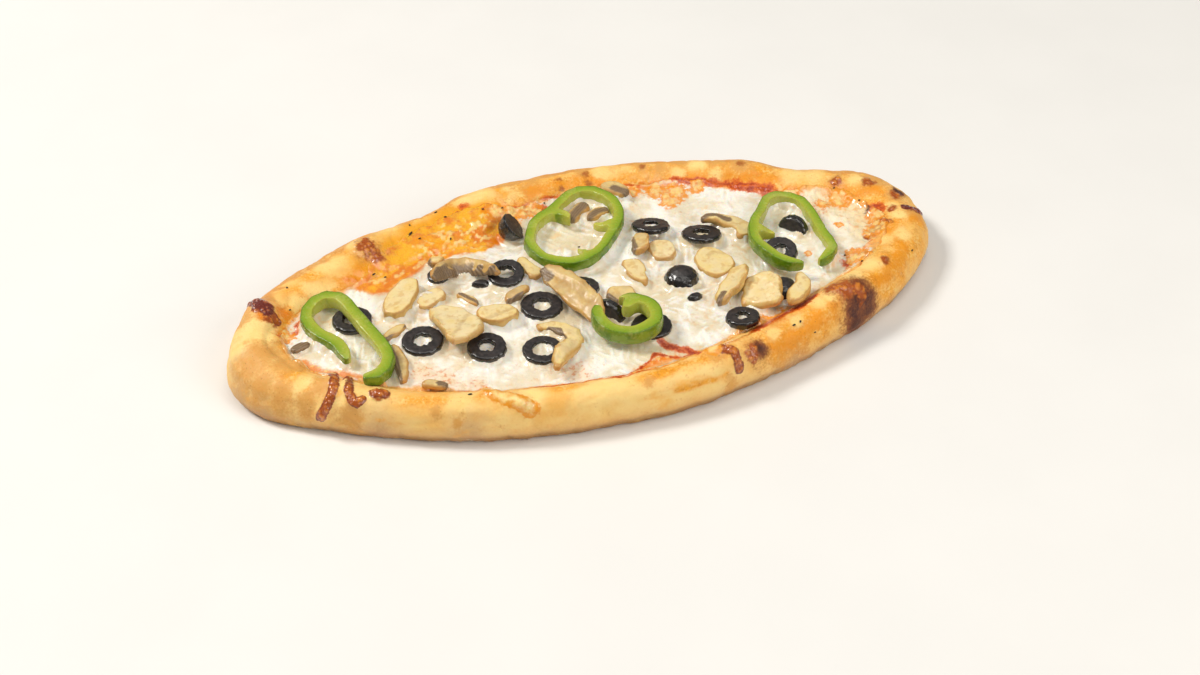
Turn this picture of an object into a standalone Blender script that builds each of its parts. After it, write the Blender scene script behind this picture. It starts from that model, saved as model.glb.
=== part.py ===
"""Peinirli: a boat-shaped cheese bread with olive rings, green pepper rings and mushroom slices.

Units are millimetres up to the very end, where every mesh is scaled to metres. +X runs along the
boat, +Z is up, and the origin is at the middle of the bread's box, on the surface it rests on.
The toppings are laid one after another: each is dropped on whatever already lies below it.
"""
import math

import bmesh
import bpy
import numpy as np
from mathutils import Vector
from mathutils.bvhtree import BVHTree
from mathutils.geometry import delaunay_2d_cdt

METRE = 0.001          # one millimetre in metres
LENGTH = 289.5         # tip to tip
WIDTH = 144.0          # across the middle
GAP = 0.35             # air kept between two pieces that touch
SLICES = 116           # slices round the rolled edge
FLOOR = 7.0            # top of the dough under the filling
CHEESE_LINE = 12.9     # where the inner slope of the rolled edge meets the cheese
CHEESE_TOP = 12.5      # mean top of the cheese layer
CHEESE_EDGE = 12.6     # its top along the rolled edge
EDGE_GAP = 0.6         # air between the cheese and the slope beside it
CHEESE_PITCH = 7.0     # spacing of the points that shape the cheese's top
CELL = 0.5             # cell of the height grid that the toppings are dropped on
SUPPLE, SPRINGY, FIRM, STIFF = 0.15, 0.3, 0.5, 0.9   # how far a topping keeps to its own plane
SAG = 0.03             # how far a topping sinks at each step of its settling
SAG_STEPS = 90         # steps of one settling
SAG_ROUNDS = 2         # times a topping is settled again from where it lies

# The rolled edge, anticlockwise from the right tip: outer edge x, y; where the inner slope meets
# the cheese x, y; height of the crest; how far the inner side has slumped, from 0 to 1. The flap
# that closes the left tip starts at x = -131.
RIM_STATIONS = (
    (146.0, 3.0, 121.0, 3.0, 16.8, 0),
    (144.5, 14.5, 119.0, 13.0, 17.2, 0),
    (138.0, 28.0, 111.5, 19.0, 17.4, 0),
    (122.5, 37.5, 102.0, 23.0, 16.8, 0),
    (106.5, 43.5, 91.5, 27.5, 17.0, 0),
    (88.5, 53.5, 77.0, 37.5, 18.2, 0),
    (64.0, 62.5, 57.0, 46.5, 17.2, 0),
    (42.0, 68.5, 38.5, 52.0, 17.0, 0),
    (19.5, 71.5, 19.0, 55.5, 17.0, 0),
    (-9.0, 72.0, -8.0, 53.0, 17.2, 0),
    (-27.0, 71.5, -23.5, 47.5, 17.0, 0.3),
    (-38.0, 69.0, -30.0, 41.5, 16.6, 0.8),
    (-51.5, 62.0, -43.0, 35.5, 15.8, 1),
    (-66.0, 58.5, -59.0, 32.5, 15.8, 0.9),
    (-85.0, 53.0, -79.5, 26.5, 18.0, 0.2),
    (-105.0, 43.0, -95.0, 21.5, 17.6, 0),
    (-121.5, 33.0, -108.0, 17.5, 17.0, 0),
    (-128.0, 28.0, -113.0, 12.5, 16.6, 0),
    (-131.0, 24.0, -117.0, 7.5, 19.6, 0),
    (-137.0, 12.5, -120.0, 1.0, 20.4, 0),
    (-142.2, 1.0, -121.0, -6.0, 20.4, 0),
    (-143.8, -9.0, -119.5, -12.0, 19.8, 0),
    (-140.6, -20.2, -115.5, -18.0, 18.8, 0),
    (-131.5, -30.5, -108.5, -23.5, 18.0, 0),
    (-113.0, -41.8, -99.5, -30.0, 17.4, 0),
    (-91.0, -53.2, -84.0, -39.5, 17.0, 0),
    (-64.5, -63.5, -60.0, -49.0, 17.4, 0),
    (-34.0, -69.8, -32.5, -54.5, 17.4, 0),
    (-3.0, -72.0, -3.0, -57.0, 17.0, 0),
    (18.0, -71.6, 15.5, -56.0, 17.0, 0),
    (37.5, -68.2, 33.0, -51.5, 17.6, 0),
    (65.0, -61.0, 58.5, -45.0, 17.4, 0),
    (87.0, -52.8, 77.5, -36.5, 18.6, 0),
    (108.0, -43.3, 93.0, -29.5, 18.4, 0),
    (126.5, -30.0, 105.5, -21.0, 17.4, 0),
    (138.0, -18.2, 114.0, -12.5, 16.8, 0),
    (143.5, -9.5, 119.0, -5.0, 16.6, 0),
)
# A slice from its outside to the cheese: share of the rim's width, share of the crest's height and
# share of the cheese's height; first where the edge stands plump, then where it has slumped.
PLUMP = ((0.12, 0.79, 0.0), (0.28, 0.94, 0.0), (0.47, 1.0, 0.0),
         (0.66, 0.965, 0.0), (0.83, 0.45, 0.55), (1.0, 0.0, 1.0))
SLUMPED = ((0.08, 0.80, 0.0), (0.17, 0.95, 0.0), (0.27, 1.0, 0.0),
           (0.44, 0.6, 0.4), (0.68, 0.25, 0.75), (1.0, 0.0, 1.0))
FOOT = ((5.0, 0.0), (1.7, 1.4), (0.0, 5.2), (0.5, 9.2))   # its outside: distance in, height
WALL_LEAN = 1.6        # how far the wall under the cheese leans in

# Blisters and knobs on the rolled edge: x, y, radius, rise.
BLISTERS = (
    (-81.0, 41.5, 7.0, 1.8),
    (81.5, 48.5, 8.0, 1.0),
    (89.0, -39.0, 7.0, 1.6),
    (97.5, -44.0, 8.0, 1.2),
    (110.0, -29.5, 6.0, 1.4),
    (95.5, -30.0, 5.0, 1.0),
    (119.5, 4.0, 5.0, 1.2),
    (35.5, -62.0, 5.0, 1.2),
    (-124.0, 16.0, 6.0, 1.0),
)

# Hollows in the cheese where olives sank: x, y, radius, depth.
DENTS = (
    (-24.0, 36.6, 8.0, 3.8),
    (-1.0, -24.0, 7.5, 2.4),
    (33.0, 26.0, 7.5, 1.8),
    (51.0, 15.5, 7.5, 1.6),
    (32.6, -12.6, 8.0, 1.2),
    (68.4, -30.6, 8.0, 2.2),
    (75.0, -12.0, 7.5, 1.6),
    (86.6, 3.2, 7.0, 1.8),
    (-6.0, -3.0, 7.0, 1.2),
)

# Browned cheese that ran over the rolled edge: its route in slices from the right tip and in points
# up the slice (0 at the underside, 9 at the cheese), and its width.
DRIPS = (
    (((65.2, 8.3), (65.6, 6.9), (66.6, 6.0), (66.9, 4.9), (66.8, 3.7), (66.5, 2.8)), 4.2),
    (((66.8, 8.3), (67.3, 6.5), (68.1, 5.2), (68.4, 4.4), (68.9, 4.6), (68.8, 5.5)), 3.8),
    (((69.5, 5.9), (69.9, 6.1), (70.3, 6.3)), 4.8),
    (((76.2, 7.8), (77.3, 6.8), (78.0, 6.1), (78.7, 5.3), (79.2, 4.7)), 5.2),
    (((91.3, 7.6), (92.1, 6.9), (92.8, 6.0), (92.9, 4.9), (92.9, 4.0)), 4.4),
)
DRIP_RISE = 1.3        # how thick the browned cheese stands on the dough
DRIP_ROOT = 1.0        # how deep its solid reaches into the dough

STRIP_RINGS, PEPPER_RINGS, RIB_RINGS = 9, 22, 5   # cross sections along a strip, a ring, a rib
STRIP_SIDES = 8        # corners of a strip's cross section
STRIP_SQUARENESS = 0.7 # 1 makes that section an ellipse, 0 a rectangle
STRIP_END = 0.55       # size of a strip's last section
SLAB_POINTS = 16       # points round a flat slice
OLIVE_SIDES, SCRAP_SIDES, ARCH_SIDES = 14, 9, 9   # sides of a ring, a scrap, a half ring's arch

# Olive rings: x, y, diameter, thickness, hole, lean in degrees, the side it leans to.
OLIVES = {
    "olive_01": (-94.7, 1.9, 15.5, 3.0, 6.2, 0, 0),
    "olive_02": (-72.1, -18.5, 16.2, 2.8, 6.4, 0, 0),
    "olive_03": (-50.4, -29.9, 15.2, 3.2, 6.0, 0, 0),
    "olive_04": (-30.9, -36.8, 15.6, 2.4, 7.4, 0, 0),
    "olive_05": (-32.2, 9.1, 14.8, 2.4, 6.6, 8, 250),
    "olive_06": (-24.0, -12.0, 16.8, 3.0, 6.8, 0, 0),
    "olive_08": (31.8, 21.2, 15.7, 2.8, 6.4, 18, 72),
    "olive_09": (49.7, 10.3, 16.4, 2.8, 6.4, 16, 72),
    "olive_12": (45.8, -44.0, 13.5, 3.6, 4.6, 0, 0),
    "olive_13": (75.2, -10.6, 13.9, 4.2, 4.8, 12, 235),
    "olive_17": (11.8, -36.7, 15.8, 2.6, 6.4, 0, 0),
    "olive_18": (-6.3, -6.4, 14.5, 2.6, 6.4, 10, 60),
    "olive_20": (-57.4, 17.4, 9.0, 2.2, 3.8, 0, 0),
}
# Ends of olives, cut once: x, y, diameter, height, lean, the side its round end leans to.
OLIVE_ENDS = {
    "olive_07": (-23.6, 37.4, 12.2, 7.4, 130, 168),
    "olive_10": (32.6, -12.6, 14.2, 5.6, 6, 100),
    "olive_15": (68.4, -30.6, 12.5, 6.0, 10, 60),
}
# Half slices standing on their cut: x, y, length, thickness, height, turn in degrees, lean.
OLIVE_HALVES = {
    "olive_14": (86.6, 3.2, 12.6, 4.8, 6.2, -50, 16),
    "olive_16": (-0.9, -23.6, 14.0, 5.0, 7.0, -50, 14),
}
# Scraps of olive: x, y, length, width, thickness, turn in degrees.
OLIVE_SCRAPS = {
    "olive_11": (33.8, -25.0, 7.0, 4.6, 2.4, 10),
    "olive_19": (-42.6, 8.3, 8.0, 4.4, 2.6, -12),
}

# Pepper rings: route round the ring, closed or cut open, wall thickness, height of the cut.
PEPPERS = {
    "pepper_1": (
        ((-101.0, -22.8), (-102.6, -13.0), (-108.6, -4.0), (-111.4, 3.2), (-109.4, 10.6), (-102.7, 14.2),
         (-96.8, 9.6), (-92.4, -5.4), (-88.4, -16.6), (-86.8, -27.8), (-91.6, -34.6), (-98.0, -34.4)),
        False, 5.6, 4.6),
    "pepper_2": (
        ((-16.4, 28.6), (-18.8, 21.8), (-15.4, 10.8), (-4.9, 5.2), (4.9, 8.2), (13.5, 17.4),
         (20.7, 28.0), (21.3, 37.6), (16.3, 47.0), (7.7, 49.2), (-3.5, 40.8), (-12.6, 35.4)),
        True, 5.0, 5.2),
    "pepper_3": (
        ((3.4, -31.8), (5.6, -28.8), (9.8, -28.2), (13.4, -33.0), (11.8, -41.2), (4.2, -43.8), (-4.4, -40.4),
         (-8.0, -33.4), (-6.6, -27.8)),
        False, 5.8, 5.8),
    "pepper_4": (
        ((79.3, -24.5), (71.6, -20.6), (66.6, -9.3), (68.2, 2.0), (76.0, 12.0), (81.6, 19.8), (87.6, 21.4),
         (94.6, 16.4), (95.4, 5.0), (94.6, -8.0), (94.4, -18.0), (86.0, -23.6)),
        False, 4.8, 5.2),
}
# Ribs and flaps that grow from a ring's wall: the ring, the route, the width at its ends.
PEPPER_RIBS = (
    ("pepper_2", ((-4.3, 40.0), (0.1, 34.2), (0.8, 30.0)), (6.4, 2.4)),
    ("pepper_2", ((18.1, 23.6), (12.2, 25.0), (9.2, 27.6)), (6.0, 2.6)),
    ("pepper_2", ((0.4, 6.4), (0.0, 11.0), (-1.8, 14.6)), (3.4, 1.6)),
    ("pepper_3", ((12.6, -32.0), (8.0, -25.0), (2.4, -24.4)), (4.6, 3.2)),
    ("pepper_4", ((68.0, 1.6), (73.4, -1.0), (76.6, -3.4)), (6.0, 2.4)),
)
RIB_HEIGHT = 3.6       # ribs stand lower than the wall they grow from
RIB_LIFT = 0.3         # and start a little above its underside

# Mushroom slices cut lengthways or curled: route, widths along it, thickness, roll about the route.
STRIPS = {
    "mushroom_01": (
        ((-67.6, 16.0), (-72.6, 9.8), (-76.6, 3.8), (-81.0, -1.6)), (7.0, 11.5, 12.0, 7.5), 4.6, 0),
    "mushroom_04": (
        ((-49.6, -12.0), (-44.4, -13.6), (-39.0, -14.2), (-34.0, -13.4)), (6.5, 10.5, 10.5, 6.5), 4.8, 0),
    "mushroom_05": (
        ((-60.6, 10.6), (-56.0, 15.4), (-49.8, 18.2), (-44.0, 16.2), (-39.6, 11.2), (-35.8, 5.4)),
        (4.6, 8.4, 9.4, 8.4, 6.2, 3.4), 2.6, 46),
    "mushroom_06": (((-52.6, 4.6), (-49.8, 0.4), (-46.6, -3.4)), (2.6, 4.2, 2.4), 2.2, 0),
    "mushroom_07": (((-36.6, -5.6), (-31.6, -4.0), (-26.6, -1.8)), (5.0, 6.4, 4.0), 3.0, 15),
    "mushroom_08": (((-24.2, 18.4), (-22.6, 12.0), (-20.0, 5.0)), (3.4, 5.6, 6.4), 2.6, 0),
    "mushroom_09": (
        ((-18.4, 4.0), (-14.0, -5.6), (-9.6, -15.0), (-6.8, -23.6), (-6.6, -30.8)),
        (7.5, 10.5, 11.0, 8.5, 5.5), 3.0, 14),
    "mushroom_10": (
        ((-29.2, -25.4), (-22.8, -27.0), (-18.4, -32.2), (-19.6, -39.0), (-25.6, -43.6), (-29.6, -50.8)),
        (4.6, 6.4, 7.2, 7.0, 6.2, 4.2), 3.6, 0),
    "mushroom_15": (((-83.4, -17.0), (-82.4, -26.0), (-83.6, -37.4)), (3.2, 5.0, 3.6), 2.4, 0),
    "mushroom_20": (
        ((52.2, 16.8), (58.6, 16.4), (64.4, 13.0), (67.2, 7.6), (63.6, 3.0)),
        (3.4, 6.6, 8.4, 7.2, 4.2), 3.2, 0),
    "mushroom_21": (((1.6, 33.4), (6.6, 38.8), (11.6, 42.6)), (4.0, 6.6, 4.6), 3.4, 25),
    "mushroom_22": (((20.4, 52.4), (26.0, 49.6), (29.6, 44.2)), (5.0, 8.4, 5.6), 3.6, 0),
    "mushroom_23": (((-86.2, -13.6), (-81.4, -11.0), (-76.4, -8.0)), (2.8, 4.6, 3.2), 2.8, 0),
    "mushroom_24": (((-78.4, -43.2), (-73.8, -44.0), (-69.4, -45.6)), (3.0, 4.6, 3.4), 2.6, 0),
    "mushroom_25": (((9.0, 33.0), (14.4, 36.4), (19.0, 36.6)), (3.6, 6.0, 4.6), 3.0, 10),
    "mushroom_26": (((-119.2, -8.6), (-115.8, -7.4), (-112.4, -6.2)), (2.4, 3.8, 2.4), 2.2, 0),
}

# Flat mushroom slices: outline of the cut face, thickness.
SLABS = {
    "mushroom_02": (
        ((-69.4, 0.6), (-68.6, 4.8), (-64.4, 8.6), (-58.4, 8.8), (-57.6, 5.0), (-62.0, 1.0),
         (-66.4, -0.8)), 2.6),
    "mushroom_03": (
        ((-66.8, -8.4), (-64.8, -3.4), (-58.8, -4.0), (-53.0, -9.4), (-49.6, -17.8), (-50.4, -25.4),
         (-57.0, -30.0), (-63.6, -29.4), (-64.8, -21.0)), 4.0),
    "mushroom_27": (
        ((-59.6, 22.8), (-58.8, 27.0), (-55.8, 28.0), (-52.6, 26.0), (-53.8, 22.6), (-56.6, 20.8)), 2.4),
    "mushroom_11": (((13.6, 3.0), (20.2, 2.0), (20.6, -4.8), (18.6, -12.4), (15.6, -9.6), (12.8, -4.0)), 2.4),
    "mushroom_12": (
        ((1.4, -14.2), (4.6, -10.0), (9.4, -11.4), (12.8, -13.6), (11.4, -19.8), (4.2, -18.6)), 2.8),
    "mushroom_13": (((20.8, 12.8), (24.0, 15.8), (27.0, 13.8), (26.2, 8.4), (23.6, 3.4), (18.8, 5.4)), 3.2),
    "mushroom_14": (((27.4, 10.2), (34.8, 8.6), (36.2, 2.8), (32.6, -1.6), (26.8, -1.2), (25.0, 4.6)), 3.4),
    "mushroom_16": (
        ((41.2, -3.4), (46.6, 0.2), (52.2, -2.6), (55.4, -10.0), (52.0, -16.2), (46.0, -17.8),
         (40.6, -12.6)), 3.4),
    "mushroom_17": (
        ((54.0, -15.8), (57.8, -17.6), (54.8, -25.6), (48.0, -31.6), (39.8, -34.0), (40.6, -28.4),
         (47.0, -21.0)), 4.2),
    "mushroom_18": (
        ((55.6, -24.0), (64.2, -25.4), (65.6, -31.0), (62.8, -41.4), (56.0, -40.4), (49.4, -34.8),
         (51.8, -28.6)), 3.4),
    "mushroom_19": (
        ((66.4, -37.8), (71.0, -35.0), (73.8, -29.6), (76.6, -31.6), (75.8, -38.6), (70.4, -44.4),
         (65.0, -44.8)), 3.6),
}

# The order in which the toppings were laid, lowest first.
LAYING_ORDER = (
    "mushroom_26", "mushroom_02", "mushroom_08", "mushroom_11", "mushroom_12", "mushroom_15",
    "mushroom_06", "mushroom_24", "mushroom_23", "olive_20", "olive_19", "olive_01", "olive_02",
    "olive_03", "olive_04", "olive_05", "olive_06", "olive_18", "olive_16", "olive_17", "olive_12",
    "olive_11", "olive_10", "olive_08", "olive_09", "olive_15", "olive_14", "olive_13", "olive_07",
    "mushroom_01", "mushroom_04", "mushroom_14", "mushroom_16", "mushroom_18", "mushroom_19",
    "mushroom_17", "mushroom_20", "mushroom_21", "mushroom_25", "mushroom_10", "mushroom_03",
    "mushroom_13", "mushroom_27", "mushroom_05", "mushroom_07", "mushroom_09", "pepper_3", "pepper_1",
    "pepper_2", "mushroom_22", "pepper_4",
)


def material(name, colour, roughness):
    """A plain opaque surface."""
    made = bpy.data.materials.new(name)
    made.use_nodes = True
    shader = made.node_tree.nodes["Principled BSDF"]
    shader.inputs["Base Color"].default_value = (*colour, 1.0)
    shader.inputs["Roughness"].default_value = roughness
    shader.inputs["Metallic"].default_value = 0.0
    made.diffuse_color = (*colour, 1.0)
    return made


def smooth_curve(points, count, closed):
    """Points evenly spread on a smooth curve through the given ones, of any dimension."""
    knots = np.array(points, float)
    chord = np.linalg.norm(np.diff(knots[:, :2], axis=0), axis=1)
    if closed:
        chord = np.append(chord, np.linalg.norm(knots[0, :2] - knots[-1, :2]))
        knots = np.vstack([knots[-1], knots, knots[0], knots[1]])
        chord = np.concatenate([chord[-1:], chord, chord[:1]])
    else:
        knots = np.vstack([2 * knots[0] - knots[1], knots, 2 * knots[-1] - knots[-2]])
        chord = np.concatenate([chord[:1], chord, chord[-1:]])
    place = np.concatenate([[0.0], np.cumsum(chord)])
    slope = (knots[2:] - knots[:-2]) / (place[2:] - place[:-2])[:, None]
    start, end = place[1], place[-2]
    wanted = np.linspace(start, end, count, endpoint=not closed)
    leg = np.clip(np.searchsorted(place, wanted, "right") - 1, 1, len(place) - 3)
    span = (place[leg + 1] - place[leg])[:, None]
    t = (wanted - place[leg])[:, None] / span
    return (knots[leg] * (2 * t ** 3 - 3 * t ** 2 + 1) + knots[leg + 1] * (3 * t ** 2 - 2 * t ** 3)
            + slope[leg - 1] * span * (t ** 3 - 2 * t ** 2 + t) + slope[leg] * span * (t ** 3 - t ** 2))


def rim_slices():
    """Slices of the rolled edge, rows like RIM_STATIONS, fitted to LENGTH and WIDTH."""
    rim = smooth_curve(RIM_STATIONS, SLICES, closed=True)
    for axis, extent in ((0, LENGTH), (1, WIDTH)):
        low, high = rim[:, axis].min(), rim[:, axis].max()
        scale = extent / (high - low)
        for column in (axis, axis + 2):
            rim[:, column] = (rim[:, column] - (low + high) / 2) * scale
    return rim


def slice_points(outer, inner, crest, slump):
    """One slice of the rolled edge, from the underside up the outside, over the crest and down."""
    width = np.linalg.norm(inner - outer)
    across = (inner - outer) / width
    shares = (1 - slump) * np.array(PLUMP) + slump * np.array(SLUMPED)
    profile = [*FOOT, *((out * width, high * crest + low * CHEESE_LINE) for out, high, low in shares),
               (width + WALL_LEAN, FLOOR)]
    return [(*(outer + across * distance), height) for distance, height in profile]


def blister_rise(x, y):
    """How far the blisters lift the rolled edge at a place."""
    return sum(rise * math.exp(-((x - bx) ** 2 + (y - by) ** 2) / radius ** 2)
               for bx, by, radius, rise in BLISTERS)


def crust_grid(rim):
    """The rolled edge's points, slice by slice, with its blisters."""
    grid = np.array([slice_points(row[:2], row[2:4], *row[4:]) for row in rim])
    for slice_row in grid:
        for point in slice_row[len(FOOT):-2]:
            point[2] += blister_rise(point[0], point[1])
    return grid


def grid_faces(rows, columns, wrap=True):
    """Quads between neighbouring rows of a point grid, joined up at the end if wrap is set."""
    return [(i * columns + j, ((i + 1) % rows) * columns + j, ((i + 1) % rows) * columns + j + 1,
             i * columns + j + 1)
            for i in range(rows if wrap else rows - 1) for j in range(columns - 1)]


def crust_shape(grid):
    """Dough: the rolled edge, the flat underside and the flat floor under the filling."""
    rows, columns = grid.shape[:2]
    faces = grid_faces(rows, columns)
    faces.append([i * columns for i in range(rows)][::-1])
    faces.append([i * columns + columns - 1 for i in range(rows)])
    return grid.reshape(-1, 3), faces


def drip_shape(grid, route, width):
    """A run of browned cheese that follows the dough's surface, rooted a little into it."""
    rings = 3 * len(route) - 2
    section = ((-0.5, -DRIP_ROOT), (-0.46, 0.3 * DRIP_RISE), (-0.22, DRIP_RISE),
               (0.22, DRIP_RISE), (0.46, 0.3 * DRIP_RISE), (0.5, -DRIP_ROOT))
    path = smooth_curve(route, rings, closed=False)
    spine = np.array([on_grid(grid, *place) for place in path])
    outward = np.array([np.cross(on_grid(grid, s + 0.3, u) - on_grid(grid, s - 0.3, u),
                                 on_grid(grid, s, u + 0.3) - on_grid(grid, s, u - 0.3)) for s, u in path])
    outward /= np.linalg.norm(outward, axis=1)[:, None]
    heading = np.gradient(spine, axis=0)
    beside = np.cross(outward, heading)
    beside /= np.linalg.norm(beside, axis=1)[:, None]
    points = []
    for ring in range(rings):
        share = 0.6 if ring in (0, rings - 1) else 1.0
        points += [spine[ring] + (beside[ring] * a * width + outward[ring] * max(b, 0)) * share
                   + outward[ring] * min(b, 0) for a, b in section]
    count = len(section)
    faces = [(i * count + j, (i + 1) * count + j, (i + 1) * count + (j + 1) % count,
              i * count + (j + 1) % count) for i in range(rings - 1) for j in range(count)]
    faces += [list(range(count))[::-1], [(rings - 1) * count + j for j in range(count)]]
    return points, faces


def on_grid(grid, slice_place, height_place):
    """The dough's surface at a fractional slice and a fractional point up the slice."""
    i, j = int(slice_place), int(height_place)
    a, b = slice_place - i, height_place - j
    near, far = grid[i % len(grid)], grid[(i + 1) % len(grid)]
    return (near[j] * (1 - b) + near[j + 1] * b) * (1 - a) + (far[j] * (1 - b) + far[j + 1] * b) * a


def cheese_height(x, y):
    """The melted top: gently uneven, and pressed in where an olive sank."""
    waves = (0.35 * math.sin(x / 13.0 + 0.6 * math.sin(y / 17.0))
             + 0.3 * math.sin(y / 9.0 + x / 31.0) + 0.2 * math.sin((x - y) / 6.5))
    dents = sum(depth * math.exp(-((x - dx) ** 2 + (y - dy) ** 2) / radius ** 2)
                for dx, dy, radius, depth in DENTS)
    return CHEESE_TOP + waves - dents


def cheese_shape(rim):
    """The cheese layer: it fills the hollow of the dough, with a gap to the wall and the floor."""
    rim_edge = rim[:, 2:4]
    along = np.roll(rim_edge, -1, axis=0) - np.roll(rim_edge, 1, axis=0)
    inward = np.column_stack([-along[:, 1], along[:, 0]]) / np.linalg.norm(along, axis=1)[:, None]
    top_edge = rim_edge + inward * EDGE_GAP
    foot = rim_edge + inward * (WALL_LEAN + EDGE_GAP)
    low, high = top_edge.min(axis=0), top_edge.max(axis=0)
    inside = []
    row_step = CHEESE_PITCH * math.sqrt(0.75)
    for row in range(int((high[1] - low[1]) / row_step) + 1):
        y = low[1] + row * row_step
        for column in range(int((high[0] - low[0]) / CHEESE_PITCH) + 1):
            place = np.array([low[0] + (column + 0.5 * (row % 2)) * CHEESE_PITCH, y])
            if np.linalg.norm(top_edge - place, axis=1).min() > 0.6 * CHEESE_PITCH:
                inside.append(place)
    count = len(top_edge)
    loop = [(i, (i + 1) % count) for i in range(count)]
    flat = [Vector(place) for place in np.vstack([top_edge, inside])]
    flat, _, faces, _, _, _ = delaunay_2d_cdt(flat, loop, [], 1, 1e-6)
    points = [(place.x, place.y, CHEESE_EDGE if i < count else cheese_height(place.x, place.y))
              for i, place in enumerate(flat)]
    faces = [list(face) for face in faces]
    start = len(points)
    points += [(x, y, FLOOR + GAP) for x, y in foot]
    faces += [(i, start + i, start + (i + 1) % count, (i + 1) % count) for i in range(count)]
    faces.append([start + i for i in range(count)][::-1])
    return np.array(points), faces


def leaned(points, lean, side):
    """Points tipped by lean degrees about the origin, the top going towards the side's bearing."""
    bearing, tip = math.radians(side), math.radians(lean)
    along = np.array([math.cos(bearing), math.sin(bearing), 0.0])
    level = np.array([-along[1], along[0], 0.0])
    run, rest = points @ along, points @ level
    return (np.outer(run * math.cos(tip) + points[:, 2] * math.sin(tip), along) + np.outer(rest, level)
            + np.outer(points[:, 2] * math.cos(tip) - run * math.sin(tip), (0.0, 0.0, 1.0)))


def turned(points, turn):
    """Points turned about +Z by an angle in degrees."""
    angle = math.radians(turn)
    across, along = (math.cos(angle), math.sin(angle), 0), (-math.sin(angle), math.cos(angle), 0)
    return points @ np.array([across, along, (0, 0, 1)])


def lathe(profile, sides):
    """A profile of (radius, height) points turned about +Z; a radius of 0 makes one point."""
    points, rows = [], []
    for radius, height in profile:
        count = sides if radius else 1
        rows.append(range(len(points), len(points) + count))
        points += [(radius * math.cos(math.tau * k / sides), radius * math.sin(math.tau * k / sides), height)
                   for k in range(count)]
    faces = []
    for lower, upper in zip(rows, rows[1:] + rows[:1]):
        if len(lower) == len(upper) == 1:
            continue
        for k in range(sides):
            ring = [lower[k % len(lower)], lower[(k + 1) % len(lower)],
                    upper[(k + 1) % len(upper)], upper[k % len(upper)]]
            faces.append(list(dict.fromkeys(ring)))
    return np.array(points), faces


def olive_ring(diameter, thick, hole, lean, side):
    """A slice across an olive: cut faces above and below, skin round the outside."""
    radius, bore = diameter / 2, hole / 2
    profile = ((bore, 0.0), (radius - 0.9, 0.0), (radius, 0.35 * thick), (radius - 0.1, 0.75 * thick),
               (radius - 0.8, thick), (bore + 0.3, thick))
    points, faces = lathe(profile, OLIVE_SIDES)
    return leaned(points - (0, 0, thick / 2), lean, side), faces


def olive_end(diameter, high, lean, side):
    """The end of an olive, lying on its one cut face, or tipped up with it."""
    radius = diameter / 2
    arc = [(radius * math.cos(math.radians(a)), high * math.sin(math.radians(a))) for a in (8, 32, 54, 74)]
    points, faces = lathe([(0.0, 0.0), (radius, 0.0), *arc, (0.0, high)], OLIVE_SIDES)
    return leaned(points - (0, 0, high / 2), lean, side), faces


def olive_scrap(length, width, thick, turn):
    """A small piece of olive skin and flesh."""
    points, faces = lathe([(0.0, 0.0), (0.75, 0.0), (1.0, 0.4), (0.6, 1.0), (0.0, 1.0)], SCRAP_SIDES)
    return turned(points * (length / 2, width / 2, thick), turn), faces


def slab(outline, thick):
    """A flat slice: its outline, rounded a little at both cut faces."""
    edge = smooth_curve(outline, SLAB_POINTS, closed=True)
    middle = edge.mean(axis=0)
    layers = ((0.86, 0.0), (1.0, 0.3), (1.0, 0.7), (0.88, 1.0))
    points = np.array([(*(middle + (place - middle) * share), thick * height)
                       for share, height in layers for place in edge])
    count = len(edge)
    faces = [(k * count + i, k * count + (i + 1) % count, (k + 1) * count + (i + 1) % count,
              (k + 1) * count + i) for k in range(len(layers) - 1) for i in range(count)]
    faces += [list(range(count))[::-1], [(len(layers) - 1) * count + i for i in range(count)]]
    return points, faces


def olive_half(length, thick, high, turn, lean):
    """Half an olive ring standing on its cut, the skin arching over."""
    arc = [math.pi * k / ARCH_SIDES for k in range(ARCH_SIDES + 1)]
    outline = np.array([(math.cos(a) * length / 2, math.sin(a) * high) for a in arc])
    layers = ((0.84, -0.5), (1.0, -0.25), (1.0, 0.25), (0.84, 0.5))
    points = np.array([(x * share, depth * thick, z * (share if z > 0.1 else 1.0))
                       for share, depth in layers for x, z in outline])
    count = len(outline)
    faces = [(k * count + i, (k + 1) * count + i, (k + 1) * count + (i + 1) % count,
              k * count + (i + 1) % count) for k in range(len(layers) - 1) for i in range(count)]
    faces += [list(range(count)), [(len(layers) - 1) * count + i for i in range(count)][::-1]]
    return turned(leaned(points, lean, 90), turn), faces


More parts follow.
